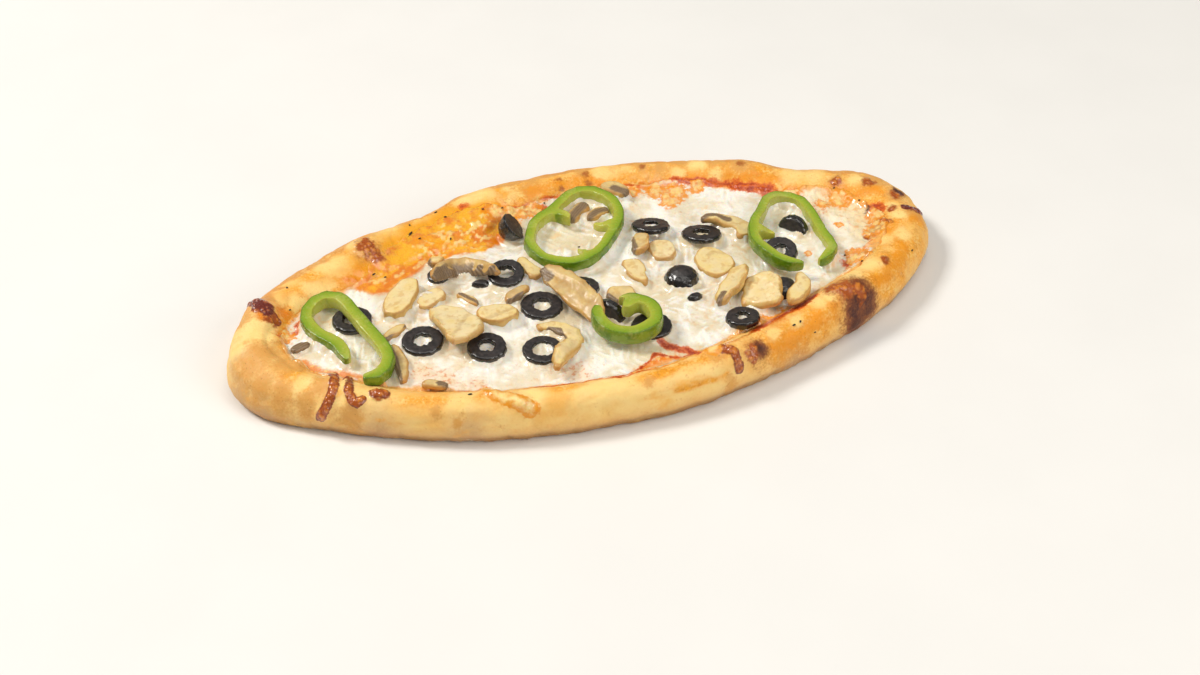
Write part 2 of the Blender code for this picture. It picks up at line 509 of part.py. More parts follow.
def strip(route, widths, thick, roll=0.0, closed=False, rings=STRIP_RINGS):
    """A flexible strip along its route; its rounded section is rolled about the route."""
    spine = smooth_curve([(*place, wide) for place, wide in zip(route, widths)], rings, closed)
    heading = np.roll(spine, -1, axis=0) - np.roll(spine, 1, axis=0)
    if not closed:
        heading[0], heading[-1] = spine[1] - spine[0], spine[-1] - spine[-2]
    heading = heading[:, :2] / np.linalg.norm(heading[:, :2], axis=1)[:, None]
    turn = math.radians(roll)
    angles = [math.tau * (k + 0.5) / STRIP_SIDES for k in range(STRIP_SIDES)]
    corners = [[math.copysign(abs(value) ** STRIP_SQUARENESS, value) for value in (math.cos(a), math.sin(a))]
               for a in angles]
    points = []
    for index, ((x, y, wide), (hx, hy)) in enumerate(zip(spine, heading)):
        share = STRIP_END if not closed and index in (0, rings - 1) else 1.0
        for c, s in corners:
            a, b = c * wide / 2 * share, s * thick / 2 * share
            side, rise = a * math.cos(turn) - b * math.sin(turn), a * math.sin(turn) + b * math.cos(turn)
            points.append((x - hy * side, y + hx * side, rise))
    count = len(corners)
    faces = [(i * count + j, ((i + 1) % rings) * count + j,
              ((i + 1) % rings) * count + (j + 1) % count, i * count + (j + 1) % count)
             for i in range(rings if closed else rings - 1) for j in range(count)]
    if not closed:
        faces += [list(range(count))[::-1], [(rings - 1) * count + j for j in range(count)]]
    return np.array(points), faces


def pepper_ring(name):
    """A pepper ring with the ribs that grow from its wall, as one solid."""
    route, closed, wall, high = PEPPERS[name]
    ring = strip(route, [wall] * len(route), high, closed=closed, rings=PEPPER_RINGS)
    ribs = [strip(rib, np.linspace(*ends, len(rib)), RIB_HEIGHT, rings=RIB_RINGS)
            for owner, rib, ends in PEPPER_RIBS if owner == name]
    if not ribs:
        return ring
    drop = (high - RIB_HEIGHT) / 2 - RIB_LIFT
    ribs = [(points - (0.0, 0.0, drop), faces) for points, faces in ribs]
    body = add_object("ring", *ring, None)
    fuse(body, ribs)
    points = np.array([vertex.co for vertex in body.data.vertices]) / METRE
    faces = [tuple(face.vertices) for face in body.data.polygons]
    bpy.data.objects.remove(body, do_unlink=True)
    return points, faces


class Pile:
    """The height of everything laid so far, on a grid seen from above."""

    def __init__(self):
        self.columns, self.rows = int(LENGTH / CELL) + 1, int(WIDTH / CELL) + 1
        self.height = np.zeros((self.columns, self.rows))

    def place(self, column, row):
        return column * CELL - LENGTH / 2, row * CELL - WIDTH / 2

    def window(self, low, high):
        """The cells under a box."""
        first = [max(0, int((low[k] + (LENGTH, WIDTH)[k] / 2) / CELL)) for k in (0, 1)]
        last = [min((self.columns, self.rows)[k] - 1, int((high[k] + (LENGTH, WIDTH)[k] / 2) / CELL) + 1)
                for k in (0, 1)]
        return [(i, j) for i in range(first[0], last[0] + 1) for j in range(first[1], last[1] + 1)]

    def around(self, column, row):
        """The highest of a cell and its neighbours."""
        return self.height[max(0, column - 1):column + 2, max(0, row - 1):row + 2].max()

    def profile(self, points, faces):
        """Lowest and highest surface of a piece over each cell it covers."""
        tree = BVHTree.FromPolygons([Vector(point) for point in points], [tuple(face) for face in faces])
        covered = []
        for column, row in self.window(points.min(axis=0), points.max(axis=0)):
            x, y = self.place(column, row)
            below = tree.ray_cast(Vector((x, y, -99.0)), Vector((0, 0, 1)))[0]
            above = tree.ray_cast(Vector((x, y, 199.0)), Vector((0, 0, -1)))[0]
            if below is not None and above is not None:
                covered.append((column, row, below.z, above.z))
        return covered

    def add(self, points, faces):
        """Takes a piece into the pile as it lies."""
        for column, row, _, above in self.profile(points, faces):
            self.height[column, row] = max(self.height[column, row], above)

    def clearance(self, points, faces):
        """The cells a piece covers, and how far it must rise over each to stay clear."""
        cells = self.profile(points, faces)
        need = np.array([self.around(column, row) + GAP - below for column, row, below, _ in cells])
        return np.array([(column, row) for column, row, _, _ in cells]), need

    def settle(self, points, faces, stiffness):
        """Lets a piece sag on to the pile: a soft one drapes over it, a stiff one tips to suit."""
        for _ in range(SAG_ROUNDS):
            cells, need = self.clearance(points, faces)
            first = cells.min(axis=0) - 2
            spots = tuple((cells - first).T)
            mask = np.zeros(cells.max(axis=0) - first + 3)
            mask[spots] = 1.0
            cover = np.maximum(blurred(mask), 1e-9)
            plane = np.column_stack([cells - cells.mean(axis=0), np.ones(len(cells))])
            level = np.full(len(cells), np.median(need))
            for _ in range(SAG_STEPS):
                field = np.zeros_like(mask)
                field[spots] = level
                eased = (blurred(field) / cover)[spots]
                flat = plane @ np.linalg.lstsq(plane, level, rcond=None)[0]
                level = np.maximum(need, (1 - stiffness) * eased + stiffness * flat - SAG)
            field = np.zeros_like(mask)
            field[spots] = level
            field = blurred(field) / cover
            place = np.rint((points[:, :2] + (LENGTH / 2, WIDTH / 2)) / CELL).astype(int) - first
            column, row = np.clip(place, 1, np.array(mask.shape) - 2).T
            points = points + np.outer(field[column, row], (0.0, 0.0, 1.0))
        return points

    def drop(self, points, faces):
        """Lowers or lifts a piece until it all but touches the pile, then takes it in."""
        points = points + (0.0, 0.0, self.clearance(points, faces)[1].max())
        self.add(points, faces)
        return points


def blurred(field):
    """The field averaged over a small square round each cell."""
    for axis in (0, 1):
        field = sum(np.roll(field, shift, axis) for shift in (-2, -1, 0, 1, 2)) / 5
    return field


def topping_shape(name):
    """The topping of that name over its own place, and how stiff it is; None if it keeps its lean."""
    if name in STRIPS:
        return *strip(*STRIPS[name]), SUPPLE
    if name in PEPPERS:
        return *pepper_ring(name), SPRINGY
    if name in SLABS:
        return *slab(*SLABS[name]), FIRM
    if name in OLIVES:
        x, y, diameter, thick, hole, lean, side = OLIVES[name]
        points, faces = olive_ring(diameter, thick, hole, lean, side)
    elif name in OLIVE_ENDS:
        x, y, diameter, high, lean, side = OLIVE_ENDS[name]
        points, faces = olive_end(diameter, high, lean, side)
    elif name in OLIVE_HALVES:
        x, y, length, thick, high, turn, lean = OLIVE_HALVES[name]
        points, faces = olive_half(length, thick, high, turn, lean)
    else:
        x, y, length, width, thick, turn = OLIVE_SCRAPS[name]
        points, faces = olive_scrap(length, width, thick, turn)
        lean = 0
    return points + (x, y, 0.0), faces, (None if lean else STIFF)


def add_object(name, points, faces, look):
    """Makes the mesh object, in metres, with its normals outwards and smooth shading."""
    mesh = bpy.data.meshes.new(name)
    mesh.from_pydata([tuple(float(value) * METRE for value in point) for point in points], [], faces)
    shaper = bmesh.new()
    shaper.from_mesh(mesh)
    bmesh.ops.recalc_face_normals(shaper, faces=shaper.faces)
    shaper.to_mesh(mesh)
    shaper.free()
    mesh.shade_smooth()
    mesh.set_sharp_from_angle(angle=math.radians(45))
    if look:
        mesh.materials.append(look)
    made = bpy.data.objects.new(name, mesh)
    bpy.context.scene.collection.objects.link(made)
    return made


def fuse(body, shapes):
    """Joins solids to a body with one Boolean union, and removes them."""
    group = bpy.data.collections.new("fused")
    for points, faces in shapes:
        piece = add_object("piece", points, faces, None)
        bpy.context.scene.collection.objects.unlink(piece)
        group.objects.link(piece)
    union = body.modifiers.new("fused", "BOOLEAN")
    union.operation = "UNION"
    union.operand_type = "COLLECTION"
    union.collection = group
    joined = bpy.data.meshes.new_from_object(body.evaluated_get(bpy.context.evaluated_depsgraph_get()))
    body.modifiers.clear()
    joined.name, body.data = body.data.name, joined
    for piece in list(group.objects):
        bpy.data.objects.remove(piece, do_unlink=True)
    bpy.data.collections.remove(group)


for old in list(bpy.data.objects):
    bpy.data.objects.remove(old, do_unlink=True)

LOOKS = {
    "crust": material("baked dough", (0.80, 0.56, 0.28), 0.6),
    "cheese": material("melted cheese", (0.86, 0.80, 0.64), 0.4),
    "olive": material("black olive", (0.018, 0.014, 0.016), 0.3),
    "pepper": material("green pepper", (0.25, 0.42, 0.03), 0.35),
    "mushroom": material("cooked mushroom", (0.62, 0.44, 0.20), 0.5),
}

rim_rows = rim_slices()
rim_grid = crust_grid(rim_rows)
heap = Pile()
for part_name, (part_points, part_faces) in (("crust", crust_shape(rim_grid)),
                                             ("cheese", cheese_shape(rim_rows))):
    heap.add(part_points, part_faces)
    add_object(part_name, part_points, part_faces, LOOKS[part_name])
fuse(bpy.data.objects["crust"], [drip_shape(rim_grid, *drip) for drip in DRIPS])
for topping in LAYING_ORDER:
    shape_points, shape_faces, stiff = topping_shape(topping)
    if stiff is not None:
        shape_points = heap.settle(shape_points, shape_faces, stiff)
    shape_points = heap.drop(shape_points, shape_faces)
    add_object(topping, shape_points, shape_faces, LOOKS[topping.split("_")[0]])
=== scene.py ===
"""Looks of a peinirli, a boat-shaped cheese bread with olives, green pepper and mushrooms.

The file follows the bread as it is put together: dough, cheese, olives, pepper, mushrooms, herbs.
Lengths are millimetres, turned to metres where a mesh is written. +X runs along the boat, +Z is up.
"""
import math

import bmesh
import bpy
import numpy as np
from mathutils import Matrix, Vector, kdtree, noise


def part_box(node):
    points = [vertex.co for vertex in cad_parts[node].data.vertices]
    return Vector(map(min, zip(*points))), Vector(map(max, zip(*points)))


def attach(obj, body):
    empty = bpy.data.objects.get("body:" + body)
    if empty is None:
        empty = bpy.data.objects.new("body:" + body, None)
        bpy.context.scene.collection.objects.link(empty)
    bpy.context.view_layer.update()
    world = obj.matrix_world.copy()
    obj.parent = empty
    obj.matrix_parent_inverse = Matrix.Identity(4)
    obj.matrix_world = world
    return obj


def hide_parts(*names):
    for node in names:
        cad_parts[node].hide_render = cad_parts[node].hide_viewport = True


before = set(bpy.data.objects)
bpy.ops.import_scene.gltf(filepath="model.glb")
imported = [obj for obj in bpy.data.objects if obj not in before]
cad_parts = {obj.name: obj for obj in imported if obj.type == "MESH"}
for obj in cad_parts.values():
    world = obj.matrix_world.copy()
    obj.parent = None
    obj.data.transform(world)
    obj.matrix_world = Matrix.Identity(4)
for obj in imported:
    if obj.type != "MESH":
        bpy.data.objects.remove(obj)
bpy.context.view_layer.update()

MM = 0.001  # one millimetre in metres


def column(items, field, width, kind=np.float32):
    """One field of every item, as rows of that width."""
    values = np.empty(len(items) * width, kind)
    items.foreach_get(field, values)
    return values.reshape(-1, width)


def placed(name, data):
    """A new object in the scene."""
    thing = bpy.data.objects.new(name, data)
    bpy.context.scene.collection.objects.link(thing)
    return thing


def mesh_of(name, points, faces):
    """A mesh from points in millimetres and the faces between them."""
    mesh = bpy.data.meshes.new(name)
    mesh.from_pydata((np.array(points) * MM).tolist(), [], faces)
    return mesh


def changed(mesh, kind, **settings):
    """The mesh as one modifier leaves it; weights are the points that it works on."""
    holder = placed("holder", mesh)
    if "weights" in settings:
        chosen = np.flatnonzero(settings.pop("weights")).tolist()
        holder.vertex_groups.new(name="weights").add(chosen, 1.0, "REPLACE")
        settings["vertex_group"] = "weights"
    step = holder.modifiers.new("step", kind)
    for name, value in settings.items():
        setattr(step, name, value)
    made = holder.evaluated_get(bpy.context.evaluated_depsgraph_get())
    result = bpy.data.meshes.new_from_object(made)
    bpy.data.objects.remove(holder, do_unlink=True)
    return result


def grown(node, pitch):
    """A solid's surface as small even squares of that pitch."""
    return changed(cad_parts[node].data.copy(), "REMESH", mode="VOXEL", voxel_size=pitch * MM)


def divided(mesh, wanted):
    """The mesh with every edge between two wanted points halved."""
    shaper = bmesh.new()
    shaper.from_mesh(mesh)
    edges = [edge for edge in shaper.edges if wanted[edge.verts[0].index] and wanted[edge.verts[1].index]]
    bmesh.ops.subdivide_edges(shaper, edges=edges, cuts=1, use_grid_fill=True)
    bmesh.ops.triangulate(shaper, faces=[face for face in shaper.faces if len(face.verts) > 4])
    shaper.to_mesh(mesh)
    shaper.free()
    return mesh


class Skin:
    """A piece's surface as arrays in millimetres, over a mesh that holds its faces."""

    def __init__(self, mesh):
        self.mesh = mesh
        self.points = column(mesh.vertices, "co", 3).astype(float) / MM
        self.links = column(mesh.edges, "vertices", 2, np.int32)
        self.degree = np.bincount(self.links.ravel(), minlength=len(self.points))

    def around(self, values):
        """Each point's values averaged over its neighbours."""
        a, b = self.links.T
        count = len(self.points)
        rows = values.reshape(count, -1).T
        total = [np.bincount(a, row[b], count) + np.bincount(b, row[a], count) for row in rows]
        return (np.array(total) / self.degree).T.reshape(values.shape)

    def blurred(self, values, times):
        """Values spread to their neighbours, again and again."""
        for _ in range(times):
            values = 0.5 * values + 0.5 * self.around(values)
        return values

    def smooth(self, times, share=1.0):
        """Relaxes the surface; share is how much, for all points or for each. Less than 0 crisps it."""
        share = np.broadcast_to(np.asarray(share, float), len(self.points))[:, None]
        self.points = self.points + (self.blurred(self.points, times) - self.points) * share

    def normals(self):
        """The outward direction at each point."""
        self.mesh.vertices.foreach_set("co", (self.points * MM).astype(np.float32).ravel())
        self.mesh.update()
        return column(self.mesh.vertex_normals, "vector", 3).astype(float)

    def push(self, amount):
        """Moves each point outwards by its amount."""
        self.points = self.points + self.normals() * np.asarray(amount)[:, None]

    def clouds(self, size, seed=0):
        """Soft noise over the surface, in lumps of that size."""
        return clouds(self.points, size, seed)

    def mark(self, **kept):
        """Keeps values at each point for the material to read."""
        for name, values in kept.items():
            layer = self.mesh.attributes.new(name, "FLOAT", "POINT")
            layer.data.foreach_set("value", np.asarray(values, np.float32))

    def laid(self, name, finish, slot, *nodes):
        """Writes the surface as a piece of the bread."""
        self.normals()
        self.mesh.materials.clear()
        self.mesh.materials.append(finish)
        self.mesh.shade_smooth()
        self.mesh.name = name
        piece = placed(name, self.mesh)
        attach(piece, "root")
        if nodes:
            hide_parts(*nodes)
        return piece


def clouds(points, size, seed=0):
    """Soft noise from about -1 to 1, in lumps of that size."""
    shifted = points / size + seed * np.array((7.3, 3.1, 5.7))
    return np.array([noise.noise(place) for place in shifted.tolist()])


def froth(points, size, seed=0):
    """Domes of bubbles of about that size: 1 on top, 0 between them, some left out."""
    shifted = points / size + seed * np.array((4.9, 8.3, 2.7))
    domes = np.zeros(len(points))
    for index, place in enumerate(shifted.tolist()):
        away, centres = noise.voronoi(place)
        reach = 0.42 + 0.28 * noise.noise(centres[0] * 9.7)
        domes[index] = max(0.0, 1 - (away[0] / max(reach, 0.2)) ** 2)
    return np.sqrt(domes)


def ramp(values, low, high):
    """0 below low and 1 above high, eased between."""
    share = np.clip((values - low) / (high - low), 0, 1)
    return share * share * (3 - 2 * share)


FADE = 1.6  # how fast a spot or a band fades


def near(points, spots):
    """1 at the middle of each spot, fading to nothing past its radius; a spot is x, y, z, radius."""
    best = np.zeros(len(points))
    for *place, radius in spots:
        away = np.linalg.norm((points - place) * (1, 1, 0.5), axis=1) / radius
        best = np.maximum(best, np.exp(-FADE * away ** 2))
    return best


def nearest(points, route):
    """The nearest place on a route to each point, and how far away it is."""
    places, best = np.zeros(points.shape), np.full(len(points), np.inf)
    for start, end in zip(route, route[1:]):
        leg = end - start
        share = np.clip((points - start) @ leg / (leg @ leg), 0, 1)
        foot = start + share[:, None] * leg
        away = np.linalg.norm(points - foot, axis=1)
        places[away < best] = foot[away < best]
        best = np.minimum(best, away)
    return places, best


def along(points, route, width, steep=1.0):
    """1 on a route, fading to nothing past half its width; steep is how far height counts."""
    scale = (1, 1, steep)
    away = nearest(points * scale, np.array(route, float) * scale)[1]
    return np.exp(-FADE * (2 * away / width) ** 2)


def bands(points, routes, steep=1.0):
    """How far each point is on any of these bands, each a route and its width."""
    return np.max([along(points, route, width, steep) for route, width in routes], axis=0)


# What the oven left on the dough and the cheese, and painted light and shade: x, y, z and radius of each
# spot.
SPOTS = {
    "gold": (
        (-117, 14, 15, 5), (-119, 10, 15, 4), (-80, 33, 15, 9), (-118, -33, 17, 3), (-123, -6, 15, 5),
        (-120, -13, 13, 5), (54, -59, 16, 11), (63, -56, 16, 12), (72, -53, 16, 10), (78, -49, 17, 9),
        (104, -40, 16, 9), (115, -32, 15, 10), (108, -40, 11, 8), (122, -24, 15, 9), (129, -20, 14, 9),
        (136, -7, 15, 8), (122, -8, 15, 8), (-122, -24, 17, 7), (127, 8, 17, 10), (120, 17, 16, 12),
        (110, 28, 17, 10), (86, 40, 17, 9), (98, 37, 17, 7), (72, 49, 16, 8), (56, 55, 17, 7),
        (44, 57, 17, 9), (17, 60, 16, 7), (5, 59, 16, 7), (-8, 60, 16, 8), (-22, 60, 16, 6),
        (-104, 30, 17, 10), (-92, 38, 17, 9), (-112, 22, 16, 8), (-64, 52, 16, 8), (-45, 58, 16, 8)),
    "tan": (
        (-130, -11, 19, 12), (-123, -18, 17, 9), (-135, -15, 18, 10), (-113, -33, 17, 8),
        (-70, -61, 11, 2.6), (-68, -60, 15, 2.8), (-76, -57, 15, 3), (-8, 59, 17, 6), (41, 59, 17, 4),
        (48, 56, 17, 4.5), (0, -67, 16, 3), (114, 24, 16, 8), (128, 19, 17, 9), (80, 46, 19, 7),
        (134, 8, 17, 7), (28, 62, 17, 6), (41, 63, 16, 6), (58, 57, 17, 7), (71, 51, 18, 7),
        (-15, 66, 16, 6), (-6, 66, 16, 6), (16, 64, 17, 5), (89, -48, 14, 12), (53, -63, 12, 2),
        (-102, 36, 17, 4), (136, -4, 15, 7), (44, -62, 16, 7), (28, -61, 17, 5), (84, -40, 18, 9),
        (-81, 38, 18, 9), (32, -69, 7, 3.4), (-126, 9, 19, 7), (-134, -24, 15, 8), (-127, -30, 14, 8),
        (-119, -36, 13, 6), (-112, -39, 12, 4), (-134, 10, 18, 7), (-105, -45, 10, 6)),
    "brown": (
        (5, 61, 17, 2.6), (5, 57, 14, 2.4), (17, 61, 16, 3.4), (17, 58, 15, 3), (41, 59, 17, 2.6),
        (81, 46, 19, 3.4), (134, 8, 17, 4), (129, 1, 16, 3), (110, -32, 18, 3.6), (119, -8, 14, 4),
        (126, 19, 17, 4), (115, 24, 16, 4), (42, -63, 15, 4.6), (45, -62, 15, 4), (84, -42, 19, 6),
        (88, -45, 19, 7), (93, -45, 18, 7), (96, -46, 15, 6), (91, -48, 15, 8), (89, -50, 11, 7),
        (89, -51, 7, 5), (81, -40, 19, 3), (137, -1, 16, 4), (121, 6, 14, 3.6), (-122, 0, 14, 2.4)),
    "char": (
        (137, 11, 16, 4), (121, 6, 13, 3), (110, -32, 18, 2), (92, -47, 17, 5.5), (95, -46, 15, 5),
        (86, -43, 19, 2.5), (90, -50, 12, 4.5), (43, -63, 15, 2), (128, 19, 17, 2), (138, -2, 15, 2.5)),
    "froth": (
        (-81, 39, 18, 6.5), (-78, 36, 16, 4.5), (84, -42, 19, 5), (88, -44, 19, 5.5), (93, -45, 18, 5),
        (118, -8, 14, 5), (122, -6, 15, 4), (114, -10, 13, 3), (129, 1, 16, 2.5), (134, 8, 17, 3),
        (127, 19, 17, 4), (115, 24, 16, 3.5), (110, -32, 18, 2.5), (107, -22, 15, 3), (42, -63, 15, 3.5),
        (-128, 12, 21, 3), (-125, 7, 19, 3), (-122, 0, 14, 2), (-94, -44, 18, 3.5)),
    "oil": (
        (-11, 50, 13, 6), (-18, 50, 13, 6), (-25, 51, 14, 6), (43, 46, 12, 5.5), (50, 43, 12, 6),
        (46, 38, 12, 5), (106, 16, 13, 3.5), (113, 16, 13, 5), (106, 1, 13, 2), (87, -12, 13, 2),
        (118, -8, 14, 5), (104, -21, 13, 6), (123, 0, 15, 5), (57, -48, 15, 7), (66, -45, 16, 6),
        (94, 26, 14, 6), (-121, 2, 14, 5), (-119, 13, 15, 5), (-127, 9, 20, 4), (33, 48, 13, 4),
        (60, 43, 13, 4)),
    "sauce": (
        (-37, 57, 16, 2.5), (-29, 53, 15, 2), (-23, 50, 14, 2), (-6, 49, 12, 4), (-11, 49, 12, 3),
        (35, 49, 13, 3.5), (75, 39, 13, 3.5), (81, 35, 13, 3), (87, 31, 13, 3.5), (124, 4, 15, 4.5),
        (98, -23, 13, 3), (-115, 6, 13, 2), (-116, 3, 13, 2), (-122, 0, 14, 2), (122, -4, 15, 2.5)),
    # Pale spots: paler dough, and painted highlights where the light catches the roll.
    "pale_and_highlight": (
        (-129, 0, 20, 8), (80, -45, 19, 4), (-99, 33, 17, 5), (-30, 60, 17, 10), (26, 62, 17, 7),
        (64, 54, 17, 6), (100, 35, 16, 7), (-66, -55, 17, 7), (108, 30, 16, 7), (106, 23, 14, 5),
        (-70, 49, 16, 8), (126, -17, 17, 5), (103, -33, 19, 5), (-93, 34, 17, 6), (-86, 42, 17, 4),
        (-104, 23, 15, 6), (-112, 19, 14, 5), (-18, -65, 16, 7), (-8, -65, 17, 7), (95, -36, 20, 4),
        (123, 22, 17, 5), (130, -5, 16, 5), (55, 51, 16, 4), (69, 45, 16, 4), (-42, -61, 17, 6),
        (-95, -45, 18, 4), (-119, -30, 18, 4.5), (-139, -6, 18, 4), (76, -47, 18, 4), (64, -53, 17, 4),
        (53, -57, 17, 4), (117, -17, 16, 4), (129, 2, 17, 3.5), (23, 61, 17, 4)),
    # Grey spots: painted shade low on the sides and at the left end, with some greyish mottling.
    "grey_and_shade": (
        (-141, -19, 9, 9), (-134, -26, 5, 8), (-139, -10, 15, 6), (60, -60, 2, 8), (-66, -61, 2, 9),
        (-96, -50, 2, 8)),
    "freckled": (
        (-76, -34, 13, 8), (-69, -40, 13, 8), (-61, -46, 13, 7), (-22, -50, 13, 7), (100, 14, 13, 8)),
}
# Cheese that ran over the edge and browned: its route and width.
DRIPS = (
    (((-107, -25, 13.4), (-108.5, -36, 18.6), (-111, -39.7, 16.7), (-113.3, -41.4, 13.5),
      (-115.7, -41.2, 8.6)), 5.4),
    (((-102.5, -28, 13.2), (-104, -40, 18.2), (-103.7, -43.5, 16.6), (-102.3, -45, 16),
      (-100.2, -44.4, 17.3)), 5),
    (((-95.2, -43.2, 18.3), (-92.2, -44.4, 18.3)), 7.2),
    (((-56.4, -51, 13.6), (-54.6, -57.3, 18.5), (-51.8, -60.5, 18.6), (-48.8, -62.8, 17.9),
      (-45.8, -65, 16.5), (-44.2, -65.6, 14.6)), 8),
    (((28, -58, 17), (31.3, -61, 19), (34.8, -63.3, 18.9), (35.2, -65.5, 17.2), (35.7, -66.7, 15.2),
      (35.8, -66.8, 12.2)), 5.8),
    (((-124.6, 11.4, 19.8), (-122, 7.6, 16.6)), 6),
)
# Where the inner slope at the left end swells up to the roll: x, y, z, radius; and by how much.
SWELLS = ((-124.5, -3, 15, 4), (-122.5, -7, 14, 4.5), (-120.5, -12, 13.4, 4.5), (-119, -17, 13.6, 4))
SWELL = 2.0
# Bands of dough that took up oil and turned amber: a route of places, and its width.
AMBER_BANDS = (
    (((104, -40, 16), (116, -31, 16), (124, -21, 15), (123, -8, 15), (137, -6, 15)), 11),
    (((52, -61, 14), (64, -58, 14), (74, -53, 15), (82, -46, 17)), 13),
    (((27, 56, 14), (14, 59, 15), (2, 58, 15), (-9, 58, 16)), 9),
    (((54, 51, 15), (69, 45, 15), (83, 38, 16), (97, 33, 16)), 9),
    (((110, 25, 15), (119, 19, 15), (129, 12, 16)), 10),
    (((-93, 26, 14), (-80, 33, 15)), 10),
    (((-60, 42, 14), (-50, 37, 13)), 10),
    (((0, -57, 13), (10, -54, 13), (18, -56, 14), (28, -58, 16)), 8),
)
# Golden streaks along the top of the front roll, and their width.
STREAKS = (
    (((-33, -60.5, 17.5), (-23, -60.5, 17.5)), 6),
    (((-6, -65, 17), (10, -63, 17.5), (24, -62, 18), (34, -61, 18)), 8),
    (((-86, -50, 17.5), (-72, -54, 17.5), (-60, -56.5, 17.5)), 7),
    (((10, -71, 12), (30, -69, 12)), 4),
)
# Dark glossy edges: of the flap at the left tip, and a blistered streak at the right tip.
RIDGES = (
    (((-130, 22, 17.6), (-127, 15.6, 20), (-124.6, 11.4, 19.8)), 8.6),
    (((134.3, 0, 16.4), (137.3, -1.2, 15.6), (141, -2, 13.3)), 4.6),
)
# Lines of sauce that show between the cheese and the rolled edge, and their width.
SAUCE_LINES = (
    (((12, -45, 13), (14, -48, 13), (21, -51, 13), (24, -56, 14)), 4.2),
    (((-14, -57, 13), (-9, -60, 13), (-4, -59, 13), (0, -56, 13), (4, -53, 13), (9, -50, 13)), 1.9),
    (((9, -50, 13), (15, -54, 13), (22, -55, 13)), 1.9),
    (((52, 50, 14), (57, 47, 14), (61, 45, 13)), 2.6),
    (((62, 45, 13), (69, 42, 13), (77, 37, 13), (84, 33, 13), (92, 27, 13)), 3.4),
    (((47, -52, 15), (54, -49, 15), (63, -46, 15), (72, -44, 17), (76, -41, 16)), 5.5),
)
# Stretches of the cheese's border that are drawn with a thin line of sauce: x, y, z, radius.
RED_EDGES = (
    (-66, -52, 15, 6), (-60, -55, 15, 5), (-36, -57, 14, 7), (-27, -56, 14, 7), (-18, -56, 14, 7),
    (-8, -60, 15, 8), (1, -57, 14, 6), (8, -53, 13, 5), (-40, 56, 15, 6), (-28, 53, 14, 7),
    (-14, 52, 13, 7), (0, 51, 13, 8), (16, 51, 13, 7), (34, 51, 13, 6), (60, 46, 13, 10), (80, 36, 13, 10),
    (60, -49, 15, 12), (112, 14, 14, 6), (118, -2, 14, 6), (100, -26, 14, 6))
# Frothy orange borders, where the cheese fried in its oil against the dough.
FRIED_BORDERS = (
    (((-117, -14, 13), (-112, -21, 13), (-108, -23, 13), (-98, -29, 13)), 5.5),
    (((-91, 26, 14), (-84, 24, 13), (-78, 23, 13), (-70, 26, 13), (-61, 29, 13)), 5.5),
    (((-27, 47, 13), (-20, 50, 13), (-8, 50, 12)), 5),
    (((36, 50, 13), (44, 49, 13), (52, 47, 13)), 5),
    (((30, -57, 16), (40, -56, 14), (48, -52, 14)), 3),
    (((2, -55, 13), (10, -53, 13), (18, -55, 13)), 4),
    (((96, -30, 15), (99, -24, 13), (107, -19, 13), (119, -9, 14), (123, -3, 15)), 3.6),
)
# Where the back edge has slumped, oily cheese covers it: routes through that stretch, and widths.
OVERFLOWS = (
    (((-80, 27, 13), (-70, 34, 13), (-60, 40, 14), (-50, 45, 14), (-41, 48, 14), (-32, 47, 14),
      (-27, 46, 13)), 25),
    (((-84, 26, 13), (-72, 31, 13), (-60, 34, 13), (-48, 36, 13), (-38, 35, 13), (-32, 40, 13)), 15),
)
# In it, the band that melted to pale lumps.
LUMPS = ((-57, 34, 13), (-50, 38, 13), (-44, 43, 13), (-40, 38, 13), (-33, 45, 13))
# The dough that charred: no cheese on it, brown to purple-black.
BURN = (
    (94, -45, 17, 9), (92, -48.5, 13, 10), (91, -50, 7, 8), (97, -46.5, 12, 7), (137, 10.5, 16, 4.4),
    (45.5, -61.5, 15, 4.4))
# The drip that stayed golden, counted from 0, and the golden top of another: x, y, z, radius.
GOLDEN_DRIP = 3
GOLDEN_TOP = (28, -59, 17, 4)
BEND = 1.2  # how far the edges of spots and bands wander


def baked(points):
    """What the oven and the filling left at each point, and painted light and shade, by name, from 0 to 1.
    """
    bent = points + BEND * np.column_stack([clouds(points, 4.5, seed) for seed in (1, 2, 3)])
    found = {name: near(bent, spots) for name, spots in SPOTS.items()}
    found["gold"] = np.maximum(found["gold"], bands(bent, STREAKS))
    found["sauce"] = np.maximum(found["sauce"], bands(bent, SAUCE_LINES, 0.2))
    found["amber"] = bands(bent, AMBER_BANDS)
    found["drip"] = bands(points, DRIPS)
    found["ridge"] = bands(bent, RIDGES)
    found["fried"] = bands(bent, FRIED_BORDERS, 0.3)
    found["over"] = bands(bent, OVERFLOWS, 0.5)
    found["lumps"] = along(bent, LUMPS, 15.0, 0.3)
    found["golden"] = np.maximum(along(points, *DRIPS[GOLDEN_DRIP]), near(points, (GOLDEN_TOP,)))
    found["burn"] = near(points, BURN)
    found["crisp"] = np.max([found["drip"], found["ridge"], found["froth"], 0.5 * found["fried"]], axis=0)
    return found


# How far the cheese's visible border lies past the brim of its solid, and the height that the brim
# is over. Then where the cheese climbs further up the dough: x, y, how much further, radius.
CREEP, BRIM_OVER = 1.1, 10
CLIMBS = (
    (-78, 30, 5, 7), (-68, 36, 11, 9), (-57, 41, 16, 10), (-46, 46, 19, 10), (-36, 49, 15, 9),
    (-27, 50, 6, 7), (118, 3, 5, 12), (108, 18, 6, 9), (105, -20, 6, 9), (97, -29, 4, 6), (120, -8, 5, 8),
    (55, 47, 2, 10), (84, 34, 2, 9), (-107, -25, 5, 4), (-102.5, -27.5, 4, 4), (-56, -50, 5, 4),
    (31, -53, 4, 4), (-115, -15, 2, 6), (100, 24, 3, 8), (10, -56, 3, 8), (-8, -57, 5, 7),
    (-27, -56, 1.5, 7), (-40, -57, 1, 6))


